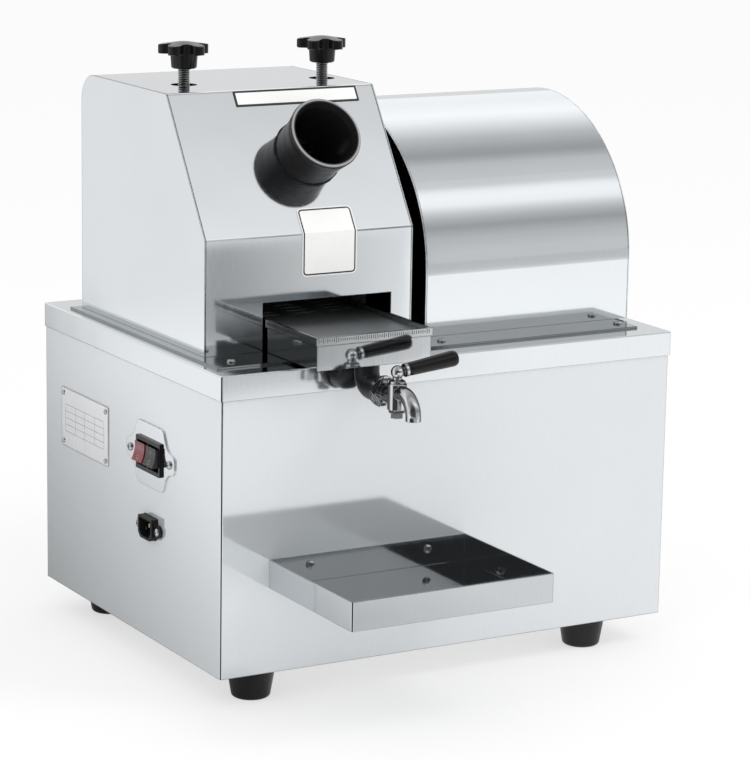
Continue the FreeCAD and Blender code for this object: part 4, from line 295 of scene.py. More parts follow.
def finish(name, colour, grain=(900, 900, 900), depth=0.0, wave=5.0, wave_depth=0.0, change=0.06, rough=0.4,
           rough_change=0.08, edge=None, edge_width=0.0007, edge_colour=None, edge_broken=True, **sockets):
    """A material of surface grain, rounded edges and an edge line, which is wear on some metals and a painted
    dark reflection on polished sheet, with plain values on the shader's sockets.
    """
    made, tree, shader = blank_material(name)
    grained = add_node(tree, "ShaderNodeGroup", {
        "Colour": (*colour, 1), "Colour Change": change, "Grain": grain, "Grain Depth": depth,
        "Wave Scale": wave, "Wave Depth": wave_depth, "Roughness": rough, "Roughness Change": rough_change},
        node_tree=surface).outputs
    tree.links.new(grained["Colour"], shader.inputs["Base Color"])
    tree.links.new(grained["Roughness"], shader.inputs["Roughness"])
    if edge_colour:
        # A whole, unbroken edge line is a painted dark reflection along the edges and upright folds.
        whole_line = {"Gap Level": -1.0, "Full Level": 0.0, "Bend Dark Reflection": 1.0}
        wear_and_reflection_settings = {"Width": edge_width, **({} if edge_broken else whole_line)}
        recolour(tree, add_node(tree, "ShaderNodeGroup", wear_and_reflection_settings, node_tree=edge_wear_and_reflection).outputs["Mask"],
                 edge_colour)
    relief = {"Strength": 1.0, "Distance": 1.0, "Height": grained["Height"]}
    if edge:
        relief["Normal"] = add_node(tree, "ShaderNodeBevel", {"Radius": edge}, samples=4).outputs[0]
    tree.links.new(add_node(tree, "ShaderNodeBump", relief).outputs[0], shader.inputs["Normal"])
    for socket, value in sockets.items():
        shader.inputs[socket.replace("_", " ")].default_value = value
    return made


def polished_sheet(name, colour, wave, wave_depth, change, rough, edge_width, edge_colour, **other):
    """Stainless sheet with a mirror polish: fine upright grain, slow waves and a painted dark reflection
    along its edges.
    """
    usual = {"rough_change": 0.03, "edge": 0.001, "edge_broken": False, "Metallic": 1.0}
    return finish(name, colour, grain=(1400, 1400, 60), depth=0.0000006, wave=wave, wave_depth=wave_depth,
                  change=change, rough=rough, edge_width=edge_width, edge_colour=edge_colour,
                  **{**usual, **other})


def dress(material, *names):
    """The CAD nodes take the material in all their slots."""
    for name in names:
        slots = nodes[name].data.materials
        slots.clear()
        slots.append(material)


wall = polished_sheet("wall_sheet", (0.722, 0.748, 0.768), wave=5.0, wave_depth=0.0003, change=0.03,
                      rough=0.09, edge_width=0.0014, edge_colour=(0.005, 0.005, 0.006), Metallic=0.5)
dress(wall, "cabinet_shell")
lid_sheet = polished_sheet("lid_sheet", (0.79, 0.82, 0.838), wave=7.0, wave_depth=0.0003, change=0.04,
                           rough=0.09, edge_width=0.0006, edge_colour=(0.06, 0.06, 0.065))
dress(lid_sheet, "lid")
plain = finish("mill_sheet", (0.62, 0.63, 0.64), grain=(300, 300, 2500), depth=0.000002, rough=0.34,
               edge=0.0006, edge_colour=(0.8, 0.8, 0.8), Metallic=1.0)
dress(plain, "back_panel", "base_pan")

# ---------------------------------------------------------------- deck plate
# A plate of 2 mm stainless sheet under the roller housing, screwed to the lid. It is
# polished like the lid, but darker and patchier, with a painted dark reflection along its edges.
deck_sheet = polished_sheet("deck_sheet", (0.42, 0.445, 0.46), wave=12.0, wave_depth=0.0004, change=0.12,
                            rough=0.08, rough_change=0.05, edge_width=0.0012, edge_colour=(0.02, 0.02, 0.02))
dress(deck_sheet, "deck_plate")

# ---------------------------------------------------------------- roller housing
# The hood over the rollers: front, slope, top and rear folded from one polished sheet,
# and two end sheets. Its inner side is painted near-black as shade, and a painted dark
# reflection runs along its edges.
hood_sheet = polished_sheet("hood_sheet", (0.832, 0.866, 0.888), wave=7.0, wave_depth=0.00035, change=0.03,
                            rough=0.07, edge_width=0.0011, edge_colour=(0.02, 0.02, 0.022))
hood_low, hood_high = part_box("housing_wrap")
two_sides = hood_sheet.node_tree
place = add_node(two_sides, "ShaderNodeTexCoord").outputs["Object"]
inward = add_node(two_sides, "ShaderNodeVectorMath", {0: (hood_low + hood_high) / 2, 1: place},
                  operation="SUBTRACT").outputs[0]
normal = add_node(two_sides, "ShaderNodeNewGeometry").outputs["Normal"]
inner_side = reckon(two_sides, "GREATER_THAN", measure(two_sides, "DOT_PRODUCT", inward, normal), 0.0)
# Painted shade: the inner side of the hood is coloured near-black.
recolour(two_sides, inner_side, (0.06, 0.06, 0.06))
dress(hood_sheet, "housing_wrap", "housing_left_end", "housing_right_end")

# ---------------------------------------------------------------- motor cover and chute
# The arched cover over the motor and the chute for crushed cane are of polished sheet as
# well. Their cut edges show a grey, broken line of painted dark reflection.
cover_sheet = polished_sheet("cover_sheet", (0.832, 0.866, 0.888), wave=7.0, wave_depth=0.00035, change=0.03,
                             rough=0.07, edge_width=0.0006, edge_colour=(0.35, 0.36, 0.37), edge_broken=True)
dress(cover_sheet, "motor_cover_wrap", "motor_cover_left_end", "motor_cover_right_end", "residue_chute")

# ---------------------------------------------------------------- drip tray
# An open tray that catches the drips of the tap, folded from polished sheet. Two screws
# hold it to the front wall.
# A painted dark reflection runs along the tray's edges and folds.
tray_sheet = polished_sheet("tray_sheet", (0.575, 0.60, 0.615), wave=9.0, wave_depth=0.0002, change=0.04,
                            rough=0.06, edge_width=0.0008, edge_colour=(0.02, 0.02, 0.022))
dress(tray_sheet, "drip_tray")


# ---------------------------------------------------------------- rating plate and stickers
# A bare aluminium rating plate with ruled lines and four rivets sits on the left wall. Two
# blank stickers with a thin dark frame are stuck on the hood, one of them folded over the
# crease under its slope.
def row_half(v, half, tall, corner):
    """Half the width of a rounded rectangle at height v; nothing outside it."""
    inside = min(v, tall - v)
    if inside < 0:
        return 0.0
    if inside >= corner:
        return half
    return half - corner + sqrt(corner ** 2 - (corner - inside) ** 2)


def mesh_of(built, name, *materials, smooth=False):
    """The bmesh as an object of the scene."""
    mesh = bpy.data.meshes.new(name)
    built.to_mesh(mesh)
    built.free()
    if smooth:
        mesh.polygons.foreach_set("use_smooth", [True] * len(mesh.polygons))
    for material in materials:
        mesh.materials.append(material)
    return in_scene(name, mesh)


def add_face(built, corners):
    """A face of the bmesh on new points at the corners."""
    return built.faces.new([built.verts.new(corner) for corner in corners])


same_place = 1e-6
corner_rows, least_corner = 8, 0.0001
row_height = 0.001


def label(name, half, tall, corner, margin, line, place_of, face, ink, thick=0.0002):
    """A thin rounded sheet in rows, with a frame line margin inside its edge."""
    fine_rows = [corner * step / corner_rows for step in range(corner_rows + 1)]
    rows = fine_rows + [tall - v for v in fine_rows]
    rows += [margin, margin + line, tall - margin, tall - margin - line]
    rows += [margin + line + row_height * step for step in range(int((tall - 2 * margin) / row_height))]
    rows = sorted({round(v, 6) for v in rows if 0 <= v <= tall})
    built = bmesh.new()
    for low, high in zip(rows, rows[1:]):
        middle = (low + high) / 2
        widths = []
        for v in (low, high):
            outer = row_half(v, half, tall, corner)
            frame_out = row_half(v - margin, half - margin, tall - 2 * margin,
                                 max(corner - margin, least_corner))
            inner = row_half(v - margin - line, half - margin - line, tall - 2 * margin - 2 * line,
                             max(corner - margin - line, least_corner))
            if not margin < middle < tall - margin:
                frame_out = inner = 0.0
            if not margin + line < middle < tall - margin - line:
                inner = 0.0
            widths.append((-outer, -frame_out, -inner, inner, frame_out, outer))
        for column in range(5):
            corners = [(widths[0][column], low), (widths[0][column + 1], low),
                       (widths[1][column + 1], high), (widths[1][column], high)]
            if max(corners[1][0] - corners[0][0], corners[2][0] - corners[3][0]) < same_place:
                continue
            add_face(built, [place_of(u, v) for u, v in corners]).material_index = column in (1, 3)
    bmesh.ops.remove_doubles(built, verts=built.verts, dist=same_place)
    bmesh.ops.dissolve_degenerate(built, edges=built.edges, dist=same_place / 10)
    made = mesh_of(built, name, face, ink)
    thickness = made.modifiers.new("thickness", "SOLIDIFY")
    thickness.thickness = thick
    thickness.offset = 1.0
    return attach(made, "machine")


shell_low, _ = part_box("cabinet_shell")
aluminium = finish("plate_aluminium", (0.93, 0.95, 0.96), grain=(1400, 1400, 60), depth=0.0000004, wave=12.0,
                   wave_depth=0.0001, change=0.03, rough=0.22, edge=0.0003, Metallic=0.8)
etched = finish("etched_line", (0.20, 0.20, 0.21), grain=(60, 60, 2600), rough=0.5, Metallic=0.4)
plate_half, plate_tall = 0.056, 0.061
plate_y, plate_z = cabinet.y + 0.103, 0.180


def on_plate(u, v, lift):
    """A point on the left wall in the rating plate's frame, lifted off the wall."""
    return Vector((shell_low.x - lift, plate_y - u, plate_z + v))


plate = label("rating_plate", half=plate_half, tall=plate_tall, corner=0.003, margin=0.0002, line=0.0006,
              place_of=lambda u, v: on_plate(u, v, 0.0004), face=aluminium, ink=etched, thick=0.0005)
half_line = 0.0002
rule_ends, rule_columns = (-0.046, 0.046), (-0.046, -0.022, 0.0, 0.024, 0.046)
rule_rows = (0.016, 0.023, 0.030, 0.037, 0.044)
rules = [(*rule_ends, z - half_line, z + half_line) for z in rule_rows]
rules += [(u - half_line, u + half_line, rule_rows[0], rule_rows[-1]) for u in rule_columns]
ruled = bmesh.new()
for u0, u1, v0, v1 in rules:
    add_face(ruled, [on_plate(u, v, 0.00092) for u, v in ((u0, v0), (u1, v0), (u1, v1), (u0, v1))])
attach(mesh_of(ruled, "plate_rules", etched), "machine")

bright = finish("screw_steel", (0.50, 0.51, 0.52), grain=(1500, 1500, 1500), depth=0.000002, rough=0.16,
                edge=0.0003, Metallic=1.0)
rivet_radius, rivet_dome, rivet_inset = 0.003, 0.55, 0.0055
out_of_wall = Vector((-1, 0, 0)).to_track_quat("Z", "Y").to_matrix().to_4x4()
rivets = bmesh.new()
for side in (-1, 1):
    for v in (rivet_inset, plate_tall - rivet_inset):
        dome = bmesh.ops.create_uvsphere(rivets, u_segments=16, v_segments=8, radius=rivet_radius)["verts"]
        for vert in dome:
            vert.co.z = max(vert.co.z, 0.0) * rivet_dome
        seat = on_plate(-side * (plate_half - rivet_inset), v, 0.0009)
        bmesh.ops.transform(rivets, matrix=Matrix.Translation(seat) @ out_of_wall, verts=dome)
bmesh.ops.remove_doubles(rivets, verts=rivets.verts, dist=same_place)
riveted = mesh_of(rivets, "plate_rivets", bright, smooth=True)
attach(riveted, "machine")

lean = radians(32.96)
slope_drop = 0.128
crease_z = hood_high.z - slope_drop
slope_length = slope_drop / cos(lean)
sticker_lift, crease_half = 0.0003, 0.0006


def on_slope(x, up_slope):
    """A point on the hood's slope, measured up from the crease."""
    return Vector((x, hood_low.y + up_slope * sin(lean) - sticker_lift * cos(lean),
                   crease_z + up_slope * cos(lean) + sticker_lift * sin(lean)))


def over_crease(x, v):
    """A point on the front sheet under the crease, or on the slope above it."""
    if v > crease_half:
        return on_slope(x, v)
    if v < -crease_half:
        return Vector((x, hood_low.y - sticker_lift, crease_z + v))
    return Vector((x, hood_low.y - sticker_lift * 1.1, crease_z + v + sticker_lift * 0.3))


paper_white = finish("sticker_white", (0.93, 0.93, 0.92), grain=(1200, 1200, 1200), depth=0.000002, wave=30.0,
                     change=0.03, rough=0.3, edge=0.0003, Coat_Weight=0.3)
frame_ink = finish("frame_ink", (0.03, 0.03, 0.03), grain=(600, 600, 600), change=0.3, rough=0.35)
label("slope_sticker", half=0.067, tall=0.0165, corner=0.0008, margin=0.0, line=0.0021, face=paper_white,
      ink=frame_ink, place_of=lambda u, v: on_slope(cabinet.x - 0.093 + u, slope_length - 0.0175 + v))
label("crease_sticker", half=0.0295, tall=0.0675, corner=0.005, margin=0.0012, line=0.0015, face=paper_white,
      ink=frame_ink, place_of=lambda u, v: over_crease(cabinet.x - 0.0975 + u, v - 0.0415))


# ---------------------------------------------------------------- pan-head screws
# Nine bright M4 screws with a cross recess hold the deck plate, the tray, the switch plate
# and the inlet. Each head stands where its solid does.
def islands(name):
    """The loose solids of a CAD node, each as a list of points."""
    copy = bmesh.new()
    copy.from_mesh(nodes[name].data)
    bmesh.ops.remove_doubles(copy, verts=copy.verts, dist=same_place)
    left = dict.fromkeys(copy.verts)
    groups = []
    while left:
        reached = [left.popitem()[0]]
        group = []
        while reached:
            vert = reached.pop()
            group.append(vert.co.copy())
            for edge in vert.link_edges:
                other = edge.other_vert(vert)
                if other in left:
                    del left[other]
                    reached.append(other)
        groups.append(group)
    copy.free()
    return groups


def lathe(name, profile, steps=32):
    """A closed mesh turned round Z from a profile of radius and height."""
    built = bmesh.new()
    rings = []
    for radius, height in profile:
        turns = [2 * pi * k / steps for k in range(steps)] if radius > same_place else [0.0]
        rings.append([built.verts.new((radius * cos(angle), radius * sin(angle), height)) for angle in turns])
    for low, high in zip(rings, rings[1:]):
        for k in range(steps):
            corners = [low[k % len(low)], low[(k + 1) % len(low)],
                       high[(k + 1) % len(high)], high[k % len(high)]]
            built.faces.new(list(dict.fromkeys(corners)))
    bmesh.ops.recalc_face_normals(built, faces=built.faces)
    mesh = bpy.data.meshes.new(name)
    built.to_mesh(mesh)
    built.free()
    return mesh


def tree_of(name, inputs):
    """A Geometry Nodes tree with named inputs and one geometry output."""
    made = bpy.data.node_groups.new(name, "GeometryNodeTree")
    sockets = {}
    for socket, kind, value in inputs:
        item = made.interface.new_socket(socket, in_out="INPUT", socket_type="NodeSocket" + kind)
        if value is not None:
            item.default_value = value
        sockets[socket] = item.identifier
    made.interface.new_socket("Geometry", in_out="OUTPUT", socket_type="NodeSocketGeometry")
    return made, sockets, made.nodes.new("NodeGroupInput").outputs


def close_tree(tree, given, shape, **chosen):
    """The tree's last nodes: real geometry, in the metal that the tree is given."""
    real = add_node(tree, "GeometryNodeRealizeInstances", {"Geometry": shape})
    metal = add_node(tree, "GeometryNodeSetMaterial",
                     {"Geometry": real.outputs[0], "Material": given["Metal"], **chosen})
    tree.links.new(metal.outputs[0], tree.nodes.new("NodeGroupOutput").inputs["Geometry"])


def grow(name, mesh, tree, sockets, values, body):
    """The tree's result on the mesh as a plain mesh that rides on the body."""
    seed = in_scene(name + "_seed", mesh)
    modifier = seed.modifiers.new("tree", "NODES")
    modifier.node_group = tree
    for socket, value in values.items():
        modifier[sockets[socket]] = value
    bpy.context.view_layer.update()
    result = bpy.data.meshes.new_from_object(seed.evaluated_get(bpy.context.evaluated_depsgraph_get()))
    seed.modifiers.remove(modifier)
    bpy.data.objects.remove(seed)
    result.name = name
    made = in_scene(name, result)
    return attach(made, body)


screw_tree, screw_sockets, given = tree_of("cross_screws", [
    ("Geometry", "Geometry", None), ("Head", "Object", None), ("Recess Length", "Float", 0.0046),
    ("Recess Width", "Float", 0.001), ("Recess Depth", "Float", 0.0016), ("Head Height", "Float", 0.0026),
    ("Metal", "Material", None)])
head = add_node(screw_tree, "GeometryNodeObjectInfo", {"Object": given["Head"]}).outputs["Geometry"]
cut = add_node(screw_tree, "GeometryNodeMeshBoolean", {"Mesh 1": head}, operation="DIFFERENCE")
twice_deep = reckon(screw_tree, "MULTIPLY", given["Recess Depth"], 2.0)
at_crown = add_node(screw_tree, "ShaderNodeCombineXYZ", {"Z": given["Head Height"]}).outputs[0]
for along, over in (("Recess Length", "Recess Width"), ("Recess Width", "Recess Length")):
    size = add_node(screw_tree, "ShaderNodeCombineXYZ",
                    {"X": given[along], "Y": given[over], "Z": twice_deep})
    cube = add_node(screw_tree, "GeometryNodeMeshCube", {"Size": size.outputs[0]}).outputs["Mesh"]
    bar = add_node(screw_tree, "GeometryNodeTransform", {"Geometry": cube, "Translation": at_crown})
    screw_tree.links.new(bar.outputs[0], cut.inputs["Mesh 2"])
facing = add_node(screw_tree, "GeometryNodeInputNamedAttribute", {"Name": "facing"},
                  data_type="FLOAT_VECTOR").outputs["Attribute"]
aim = add_node(screw_tree, "FunctionNodeAlignRotationToVector", {"Vector": facing}, axis="Z")
heads = add_node(screw_tree, "GeometryNodeInstanceOnPoints",
                 {"Points": given["Geometry"], "Instance": cut.outputs["Mesh"], "Rotation": aim.outputs[0]})
close_tree(screw_tree, given, heads.outputs[0])

head_radius, head_height = 0.0042, 0.0026
shank_radius, shank_length = 0.002, 0.009
crown = [(head_radius * cos(radians(a)), head_height * (0.35 + 0.65 * sin(radians(a))))
         for a in range(10, 90, 16)]
screw_mesh = lathe("pan_head", [(0, -shank_length), (shank_radius - 0.0003, -shank_length),
                                (shank_radius, -shank_length + 0.0004), (shank_radius, 0),
                                (head_radius - 0.0002, 0), (head_radius, 0.0003), *crown, (0, head_height)])
screw_object = bpy.data.objects.new("pan_head_pattern", screw_mesh)
spots, facings = [], []
for group in islands("pan_screws"):
    low = Vector([min(p[i] for p in group) for i in range(3)])
    high = Vector([max(p[i] for p in group) for i in range(3)])
    axis = max(range(3), key=lambda i: high[i] - low[i])
    outward = Vector(((-1, 0, 0), (0, -1, 0), (0, 0, 1))[axis])
    spot = (low + high) / 2
    spot[axis] = (high if axis == 2 else low)[axis]
    spots.append(spot - outward * head_height)
    facings.extend(outward)
seats = bpy.data.meshes.new("screw_seats")
seats.from_pydata(spots, [], [])
seats.attributes.new("facing", "FLOAT_VECTOR", "POINT").data.foreach_set("vector", facings)
screws = grow("cross_recess_screws", seats, screw_tree, screw_sockets,
              {"Head": screw_object, "Metal": bright}, "machine")
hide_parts("pan_screws")


# ---------------------------------------------------------------- juice trough
# A polished trough slides out under the rollers. Its rim is folded over outwards, and the
# folding tool has left a row of fine upright press marks in it; those on the left hem are
# painted near-black as shade. A painted dark reflection runs along the trough's edges. A
# perforated strainer of brushed sheet lies in the trough.
def in_use(sockets, name=None):
    """The one socket that the node's settings have switched on, of those with the name."""
    return [socket for socket in sockets if socket.enabled and name in (None, socket.name)][0]


trough_sheet = polished_sheet("trough_sheet", (0.80, 0.83, 0.85), wave=12.0, wave_depth=0.00035, change=0.05,
                              rough=0.07, edge_width=0.0017, edge_colour=(0.01, 0.01, 0.011))
dress(trough_sheet, "juice_trough")
sieve = finish("sieve_sheet", (0.46, 0.48, 0.495), grain=(300, 2500, 300), depth=0.000002, wave=9.0,
               change=0.08, rough=0.34, edge=0.0003, Metallic=1.0)
dress(sieve, "strainer")

mark_tree, mark_sockets, given = tree_of("press_marks", [
    ("Geometry", "Geometry", None), ("Count", "Int", 10), ("Start", "Vector", None), ("Step", "Vector", None),
    ("Mark", "Vector", None), ("Shortest", "Float", 0.35), ("Seed", "Int", 4), ("Metal", "Material", None)])
row = add_node(mark_tree, "GeometryNodeMeshLine", {"Count": given["Count"], "Start Location": given["Start"],
                                                   "Offset": given["Step"]}, mode="OFFSET")
tick = add_node(mark_tree, "GeometryNodeMeshCube", {"Size": given["Mark"]})
chance = add_node(mark_tree, "FunctionNodeRandomValue", {"Seed": given["Seed"]}, data_type="FLOAT")
mark_tree.links.new(given["Shortest"], in_use(chance.inputs, "Min"))
sizes_of = add_node(mark_tree, "ShaderNodeCombineXYZ", {"X": 1.0, "Y": 1.0, "Z": in_use(chance.outputs)})
ticks = add_node(mark_tree, "GeometryNodeInstanceOnPoints",
                 {"Points": row.outputs[0], "Instance": tick.outputs["Mesh"], "Scale": sizes_of.outputs[0]})
close_tree(mark_tree, given, ticks.outputs[0])
# The left hem's marks are a darker copy of the same steel: painted shade.
pressed, hem_painted_shade = [
    finish(name, colour, grain=(1500, 1500, 200), change=0.3, rough=0.35, Metallic=0.8)
    for name, colour in (("pressed_steel", (0.16, 0.165, 0.17)), ("hem_steel_painted_shade", (0.06, 0.06, 0.062)))]
trough_low, trough_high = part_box("juice_trough")
mark_step, from_corner = 0.0023, 0.0025
mark_z = trough_high.z - 0.0031
empty_mesh = bpy.data.meshes.new("hem_start")
for name, start, step, mark, count, metal in (
        ("front_hem_marks", (trough_low.x + from_corner, trough_low.y, mark_z), (mark_step, 0, 0),
         (0.0009, 0.0001, 0.0052), 52, pressed),
        ("left_hem_marks", (trough_low.x, trough_low.y + from_corner, mark_z), (0, mark_step, 0),
         (0.0001, 0.0015, 0.0056), 42, hem_painted_shade),
        ("right_hem_marks", (trough_high.x, trough_low.y + from_corner, mark_z), (0, mark_step, 0),
         (0.0001, 0.0011, 0.0046), 42, pressed)):
    grow(name, empty_mesh, mark_tree, mark_sockets,
         {"Count": count, "Start": start, "Step": step, "Mark": mark, "Metal": metal}, "trough_set")

# ---------------------------------------------------------------- rollers and frames
# Three fluted stainless rollers turn in bronze bushes between two milled frames, which
# bars tie together. Their gears are hobbed steel with a film of oil.
stained = finish("stained_steel", (0.2, 0.2, 0.2), grain=(90, 1600, 1600), depth=0.000006, wave=30.0,
                 change=0.25, rough=0.42, rough_change=0.15, edge=0.0004, edge_colour=(0.6, 0.6, 0.6),
                 Metallic=1.0)
dress(stained, "front_roller", "rear_roller", "top_roller")
machined = finish("machined_steel", (0.56, 0.57, 0.58), grain=(90, 1600, 1600), depth=0.000004, rough=0.3,
                  edge=0.0005, edge_colour=(0.75, 0.75, 0.75), Metallic=1.0)
dress(machined, "roller_frame_left", "roller_frame_right", "frame_caps", "bearing_blocks", "tie_bars",
      "turner_bar")
geared = finish("gear_steel", (0.34, 0.34, 0.35), grain=(1500, 700, 700), depth=0.000004, rough=0.28,
                rough_change=0.12, edge=0.0004, edge_colour=(0.6, 0.6, 0.6), Metallic=1.0)
dress(geared, "front_gear", "rear_gear", "top_gear")
bronze = finish("bush_bronze", (0.66, 0.46, 0.24), grain=(1500, 500, 500), depth=0.000003, rough=0.3,
                Metallic=1.0)
dress(bronze, "lower_bushes", "upper_bushes")
dress(bright, "cap_bolts", "frame_bolts")

# ---------------------------------------------------------------- feed tube and feet
# The feed tube stands square on the slope. It is moulded in satin black rubber, with a
# painted grey highlight round its lip and a dark, uneven bead round its foot as painted shade
# of the gap there. The feet are moulded in the same rubber and held by bright screws.
rubber = finish("black_rubber", (0.010, 0.010, 0.011), grain=(700, 700, 700), depth=0.00001, wave=18.0,
                change=0.35, rough=0.32, rough_change=0.14, edge=0.0006, edge_colour=(0.04, 0.04, 0.04),
                Specular_IOR_Level=0.3)
dress(rubber, "rubber_feet")
dress(bright, "foot_screws")
outward = Vector((0, -cos(lean), sin(lean)))
tube_points = [vert.co for vert in nodes["feed_tube"].data.vertices]
reach = max(point.dot(outward) for point in tube_points)
rim = [point for point in tube_points if point.dot(outward) > reach - 0.0002]
mouth = Vector([(min(p[i] for p in rim) + max(p[i] for p in rim)) / 2 for i in range(3)])
lip_highlight_rubber = finish("tube_rubber", (0.012, 0.012, 0.013), grain=(500, 500, 500), depth=0.000004, wave=14.0,
                change=0.15, rough=0.3, rough_change=0.05, edge=0.0006)
skin = lip_highlight_rubber.node_tree
skin_place = add_node(skin, "ShaderNodeTexCoord").outputs["Object"]
lip_depth, highlight_radius, highlight_half = 0.004, 0.0346, 0.0006
# Painted highlight: a thin grey ring round the mouth of the tube.
at_mouth = reckon(skin, "GREATER_THAN", measure(skin, "DOT_PRODUCT", skin_place, outward), reach - lip_depth)
off_line = reckon(skin, "SUBTRACT", measure(skin, "DISTANCE", skin_place, mouth), highlight_radius)
line = spread(skin, reckon(skin, "ABSOLUTE", off_line), highlight_half + 0.0007, highlight_half)
recolour(skin, reckon(skin, "MULTIPLY", line, at_mouth), (0.34, 0.34, 0.35))
dress(lip_highlight_rubber, "feed_tube")

# Painted shade: a dark, uneven rubber bead stands in the gap at the tube's foot.
bead_steps, bead_sides = 96, 8
bead_radius, bead_thick, bead_height = 0.0334, 0.0009, 0.0007
wobbles = ((0.00025, 7, 0.0), (0.0002, 17, 1.0))
tube_length = 0.046
foot = mouth - outward * tube_length
side_way = Vector((1, 0, 0))
up_way = outward.cross(side_way)
seam = bmesh.new()
loops = []
for k in range(bead_steps):
    angle = 2 * pi * k / bead_steps
    wobble = sum(size * sin(count * angle + start) for size, count, start in wobbles)
    ring = []
    for j in range(bead_sides):
        tilt = 2 * pi * j / bead_sides
        radius = bead_radius + (bead_thick + wobble) * cos(tilt)
        ring.append(seam.verts.new(foot + outward * (bead_height + bead_thick * sin(tilt))
                                   + (side_way * cos(angle) + up_way * sin(angle)) * radius))
    loops.append(ring)
for k, loop in enumerate(loops):
    following = loops[(k + 1) % bead_steps]
    for j in range(bead_sides):
        beside = (j + 1) % bead_sides
        seam.faces.new((loop[j], loop[beside], following[beside], following[j]))
bmesh.ops.recalc_face_normals(seam, faces=seam.faces)
bead = mesh_of(seam, "tube_sealing_bead", rubber, smooth=True)
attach(bead, "machine")

# ---------------------------------------------------------------- drain and tap
# A rubber elbow leads from the trough to a chromed bib tap: cast body with a curved spout,
# plug with a ball on top, and a chromed rod that carries the grip. Its rim is painted dark
# where the plating turns away, as a dark reflection.
dress(rubber, "drain_elbow")
dress(bright, "drain_nut")
chrome = finish("tap_chrome", (0.68, 0.69, 0.70), grain=(400, 400, 400), depth=0.000002, wave=60.0,
                wave_depth=0.00003, change=0.02, rough=0.05, rough_change=0.03, edge=0.0006, Metallic=1.0)
plating = chrome.node_tree
# Painted dark reflection: the chrome turns near-black where it faces away.
turned_away = add_node(plating, "ShaderNodeLayerWeight", {"Blend": 0.5}).outputs["Facing"]
recolour(plating, spread(plating, turned_away, 0.2, 0.6), (0.035, 0.037, 0.04))
dress(chrome, "tap_body", "tap_plug", "tap_lever_rod", "tap_locknut")
dress(stained, "tap_tail_nut")

# ---------------------------------------------------------------- pressure screws
# Two M12 steel rods with a full thread and a head held in the bearing block's slot. They
# turn with the star knobs. The roots of the thread are painted near-black as shade.
thread_tree, thread_sockets, given = tree_of("rod_thread", [
    ("Geometry", "Geometry", None), ("Pitch", "Float", 0.00175), ("Length", "Float", 0.05),
    ("Radius", "Float", 0.006), ("Depth", "Float", 0.0008), ("Metal", "Material", None)])
turns = reckon(thread_tree, "DIVIDE", given["Length"], given["Pitch"])
ridge_part = 0.66
middle = reckon(thread_tree, "MULTIPLY_ADD", given["Depth"], -ridge_part, given["Radius"])
coil = add_node(thread_tree, "GeometryNodeCurveSpiral", {
    "Resolution": 22, "Rotations": turns, "Height": given["Length"], "Start Radius": middle,
    "End Radius": middle})
ridge = reckon(thread_tree, "MULTIPLY", given["Depth"], ridge_part)
profile = add_node(thread_tree, "GeometryNodeCurvePrimitiveCircle", {"Resolution": 5, "Radius": ridge})
swept = add_node(thread_tree, "GeometryNodeCurveToMesh",
                 {"Curve": coil.outputs[0], "Profile Curve": profile.outputs[0], "Fill Caps": True})
marked = add_node(thread_tree, "GeometryNodeStoreNamedAttribute",
                  {"Geometry": swept.outputs[0], "Name": "ridge"}, data_type="BOOLEAN", domain="FACE")
in_use(marked.inputs, "Value").default_value = True
joined = add_node(thread_tree, "GeometryNodeJoinGeometry")
for part in (marked.outputs[0], given["Geometry"]):
    thread_tree.links.new(part, joined.inputs[0])
on_ridge = add_node(thread_tree, "GeometryNodeInputNamedAttribute", {"Name": "ridge"}, data_type="BOOLEAN")
close_tree(thread_tree, given, joined.outputs[0], Selection=in_use(on_ridge.outputs))
# Painted shade in the thread's roots, between the bright ridges.
thread_root_shade = finish("thread_root_shade", (0.05, 0.05, 0.05), depth=0.000003, change=0.3, rough=0.5, Metallic=0.8)
rod_steel = finish("rod_steel", (0.52, 0.525, 0.53), depth=0.000003, change=0.15, rough=0.3, Metallic=1.0)
rod_radius, core_radius, rod_chamfer, plain_end = 0.006, 0.0049, 0.0005, 0.0035
for side in ("left", "right"):
    node = "pressure_screw_" + side
    low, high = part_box(node)
    middle = (low + high) / 2
    flange = [p.z for p in islands(node)[0] if (p.xy - middle.xy).length > rod_radius + 0.0005]
    neck = max(flange) - low.z
    full = high.z - low.z
    flange_radius = (high.x - low.x) / 2
    core = lathe(node + "_core", [(0, 0), (flange_radius, 0), (flange_radius, neck), (core_radius, neck),
                                  (core_radius, full - 0.0006), (core_radius - rod_chamfer, full), (0, full)])
    core.materials.append(thread_root_shade)
    rod = grow(node + "_thread", core, thread_tree, thread_sockets,
               {"Length": full - neck - plain_end, "Metal": rod_steel}, side + "_knob")
    for vert in rod.data.vertices:
        vert.co += Vector((middle.x, middle.y, low.z))
    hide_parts(node)

# ---------------------------------------------------------------- star knobs and lever grip
# The star knobs and the grip of the tap are glossy black mouldings. The knobs are fixed on
# the pressure screws, and the grip on the tap's rod.
glossy = finish("black_gloss", (0.006, 0.006, 0.007), grain=(500, 500, 500), depth=0.000003, wave=40.0,
                change=0.25, rough=0.14, rough_change=0.06, edge=0.0006, edge_colour=(0.04, 0.04, 0.04),
                Specular_IOR_Level=0.22, Coat_Weight=0.1, Coat_Roughness=0.08)
dress(glossy, "star_knob_left", "star_knob_right", "tap_lever_grip")

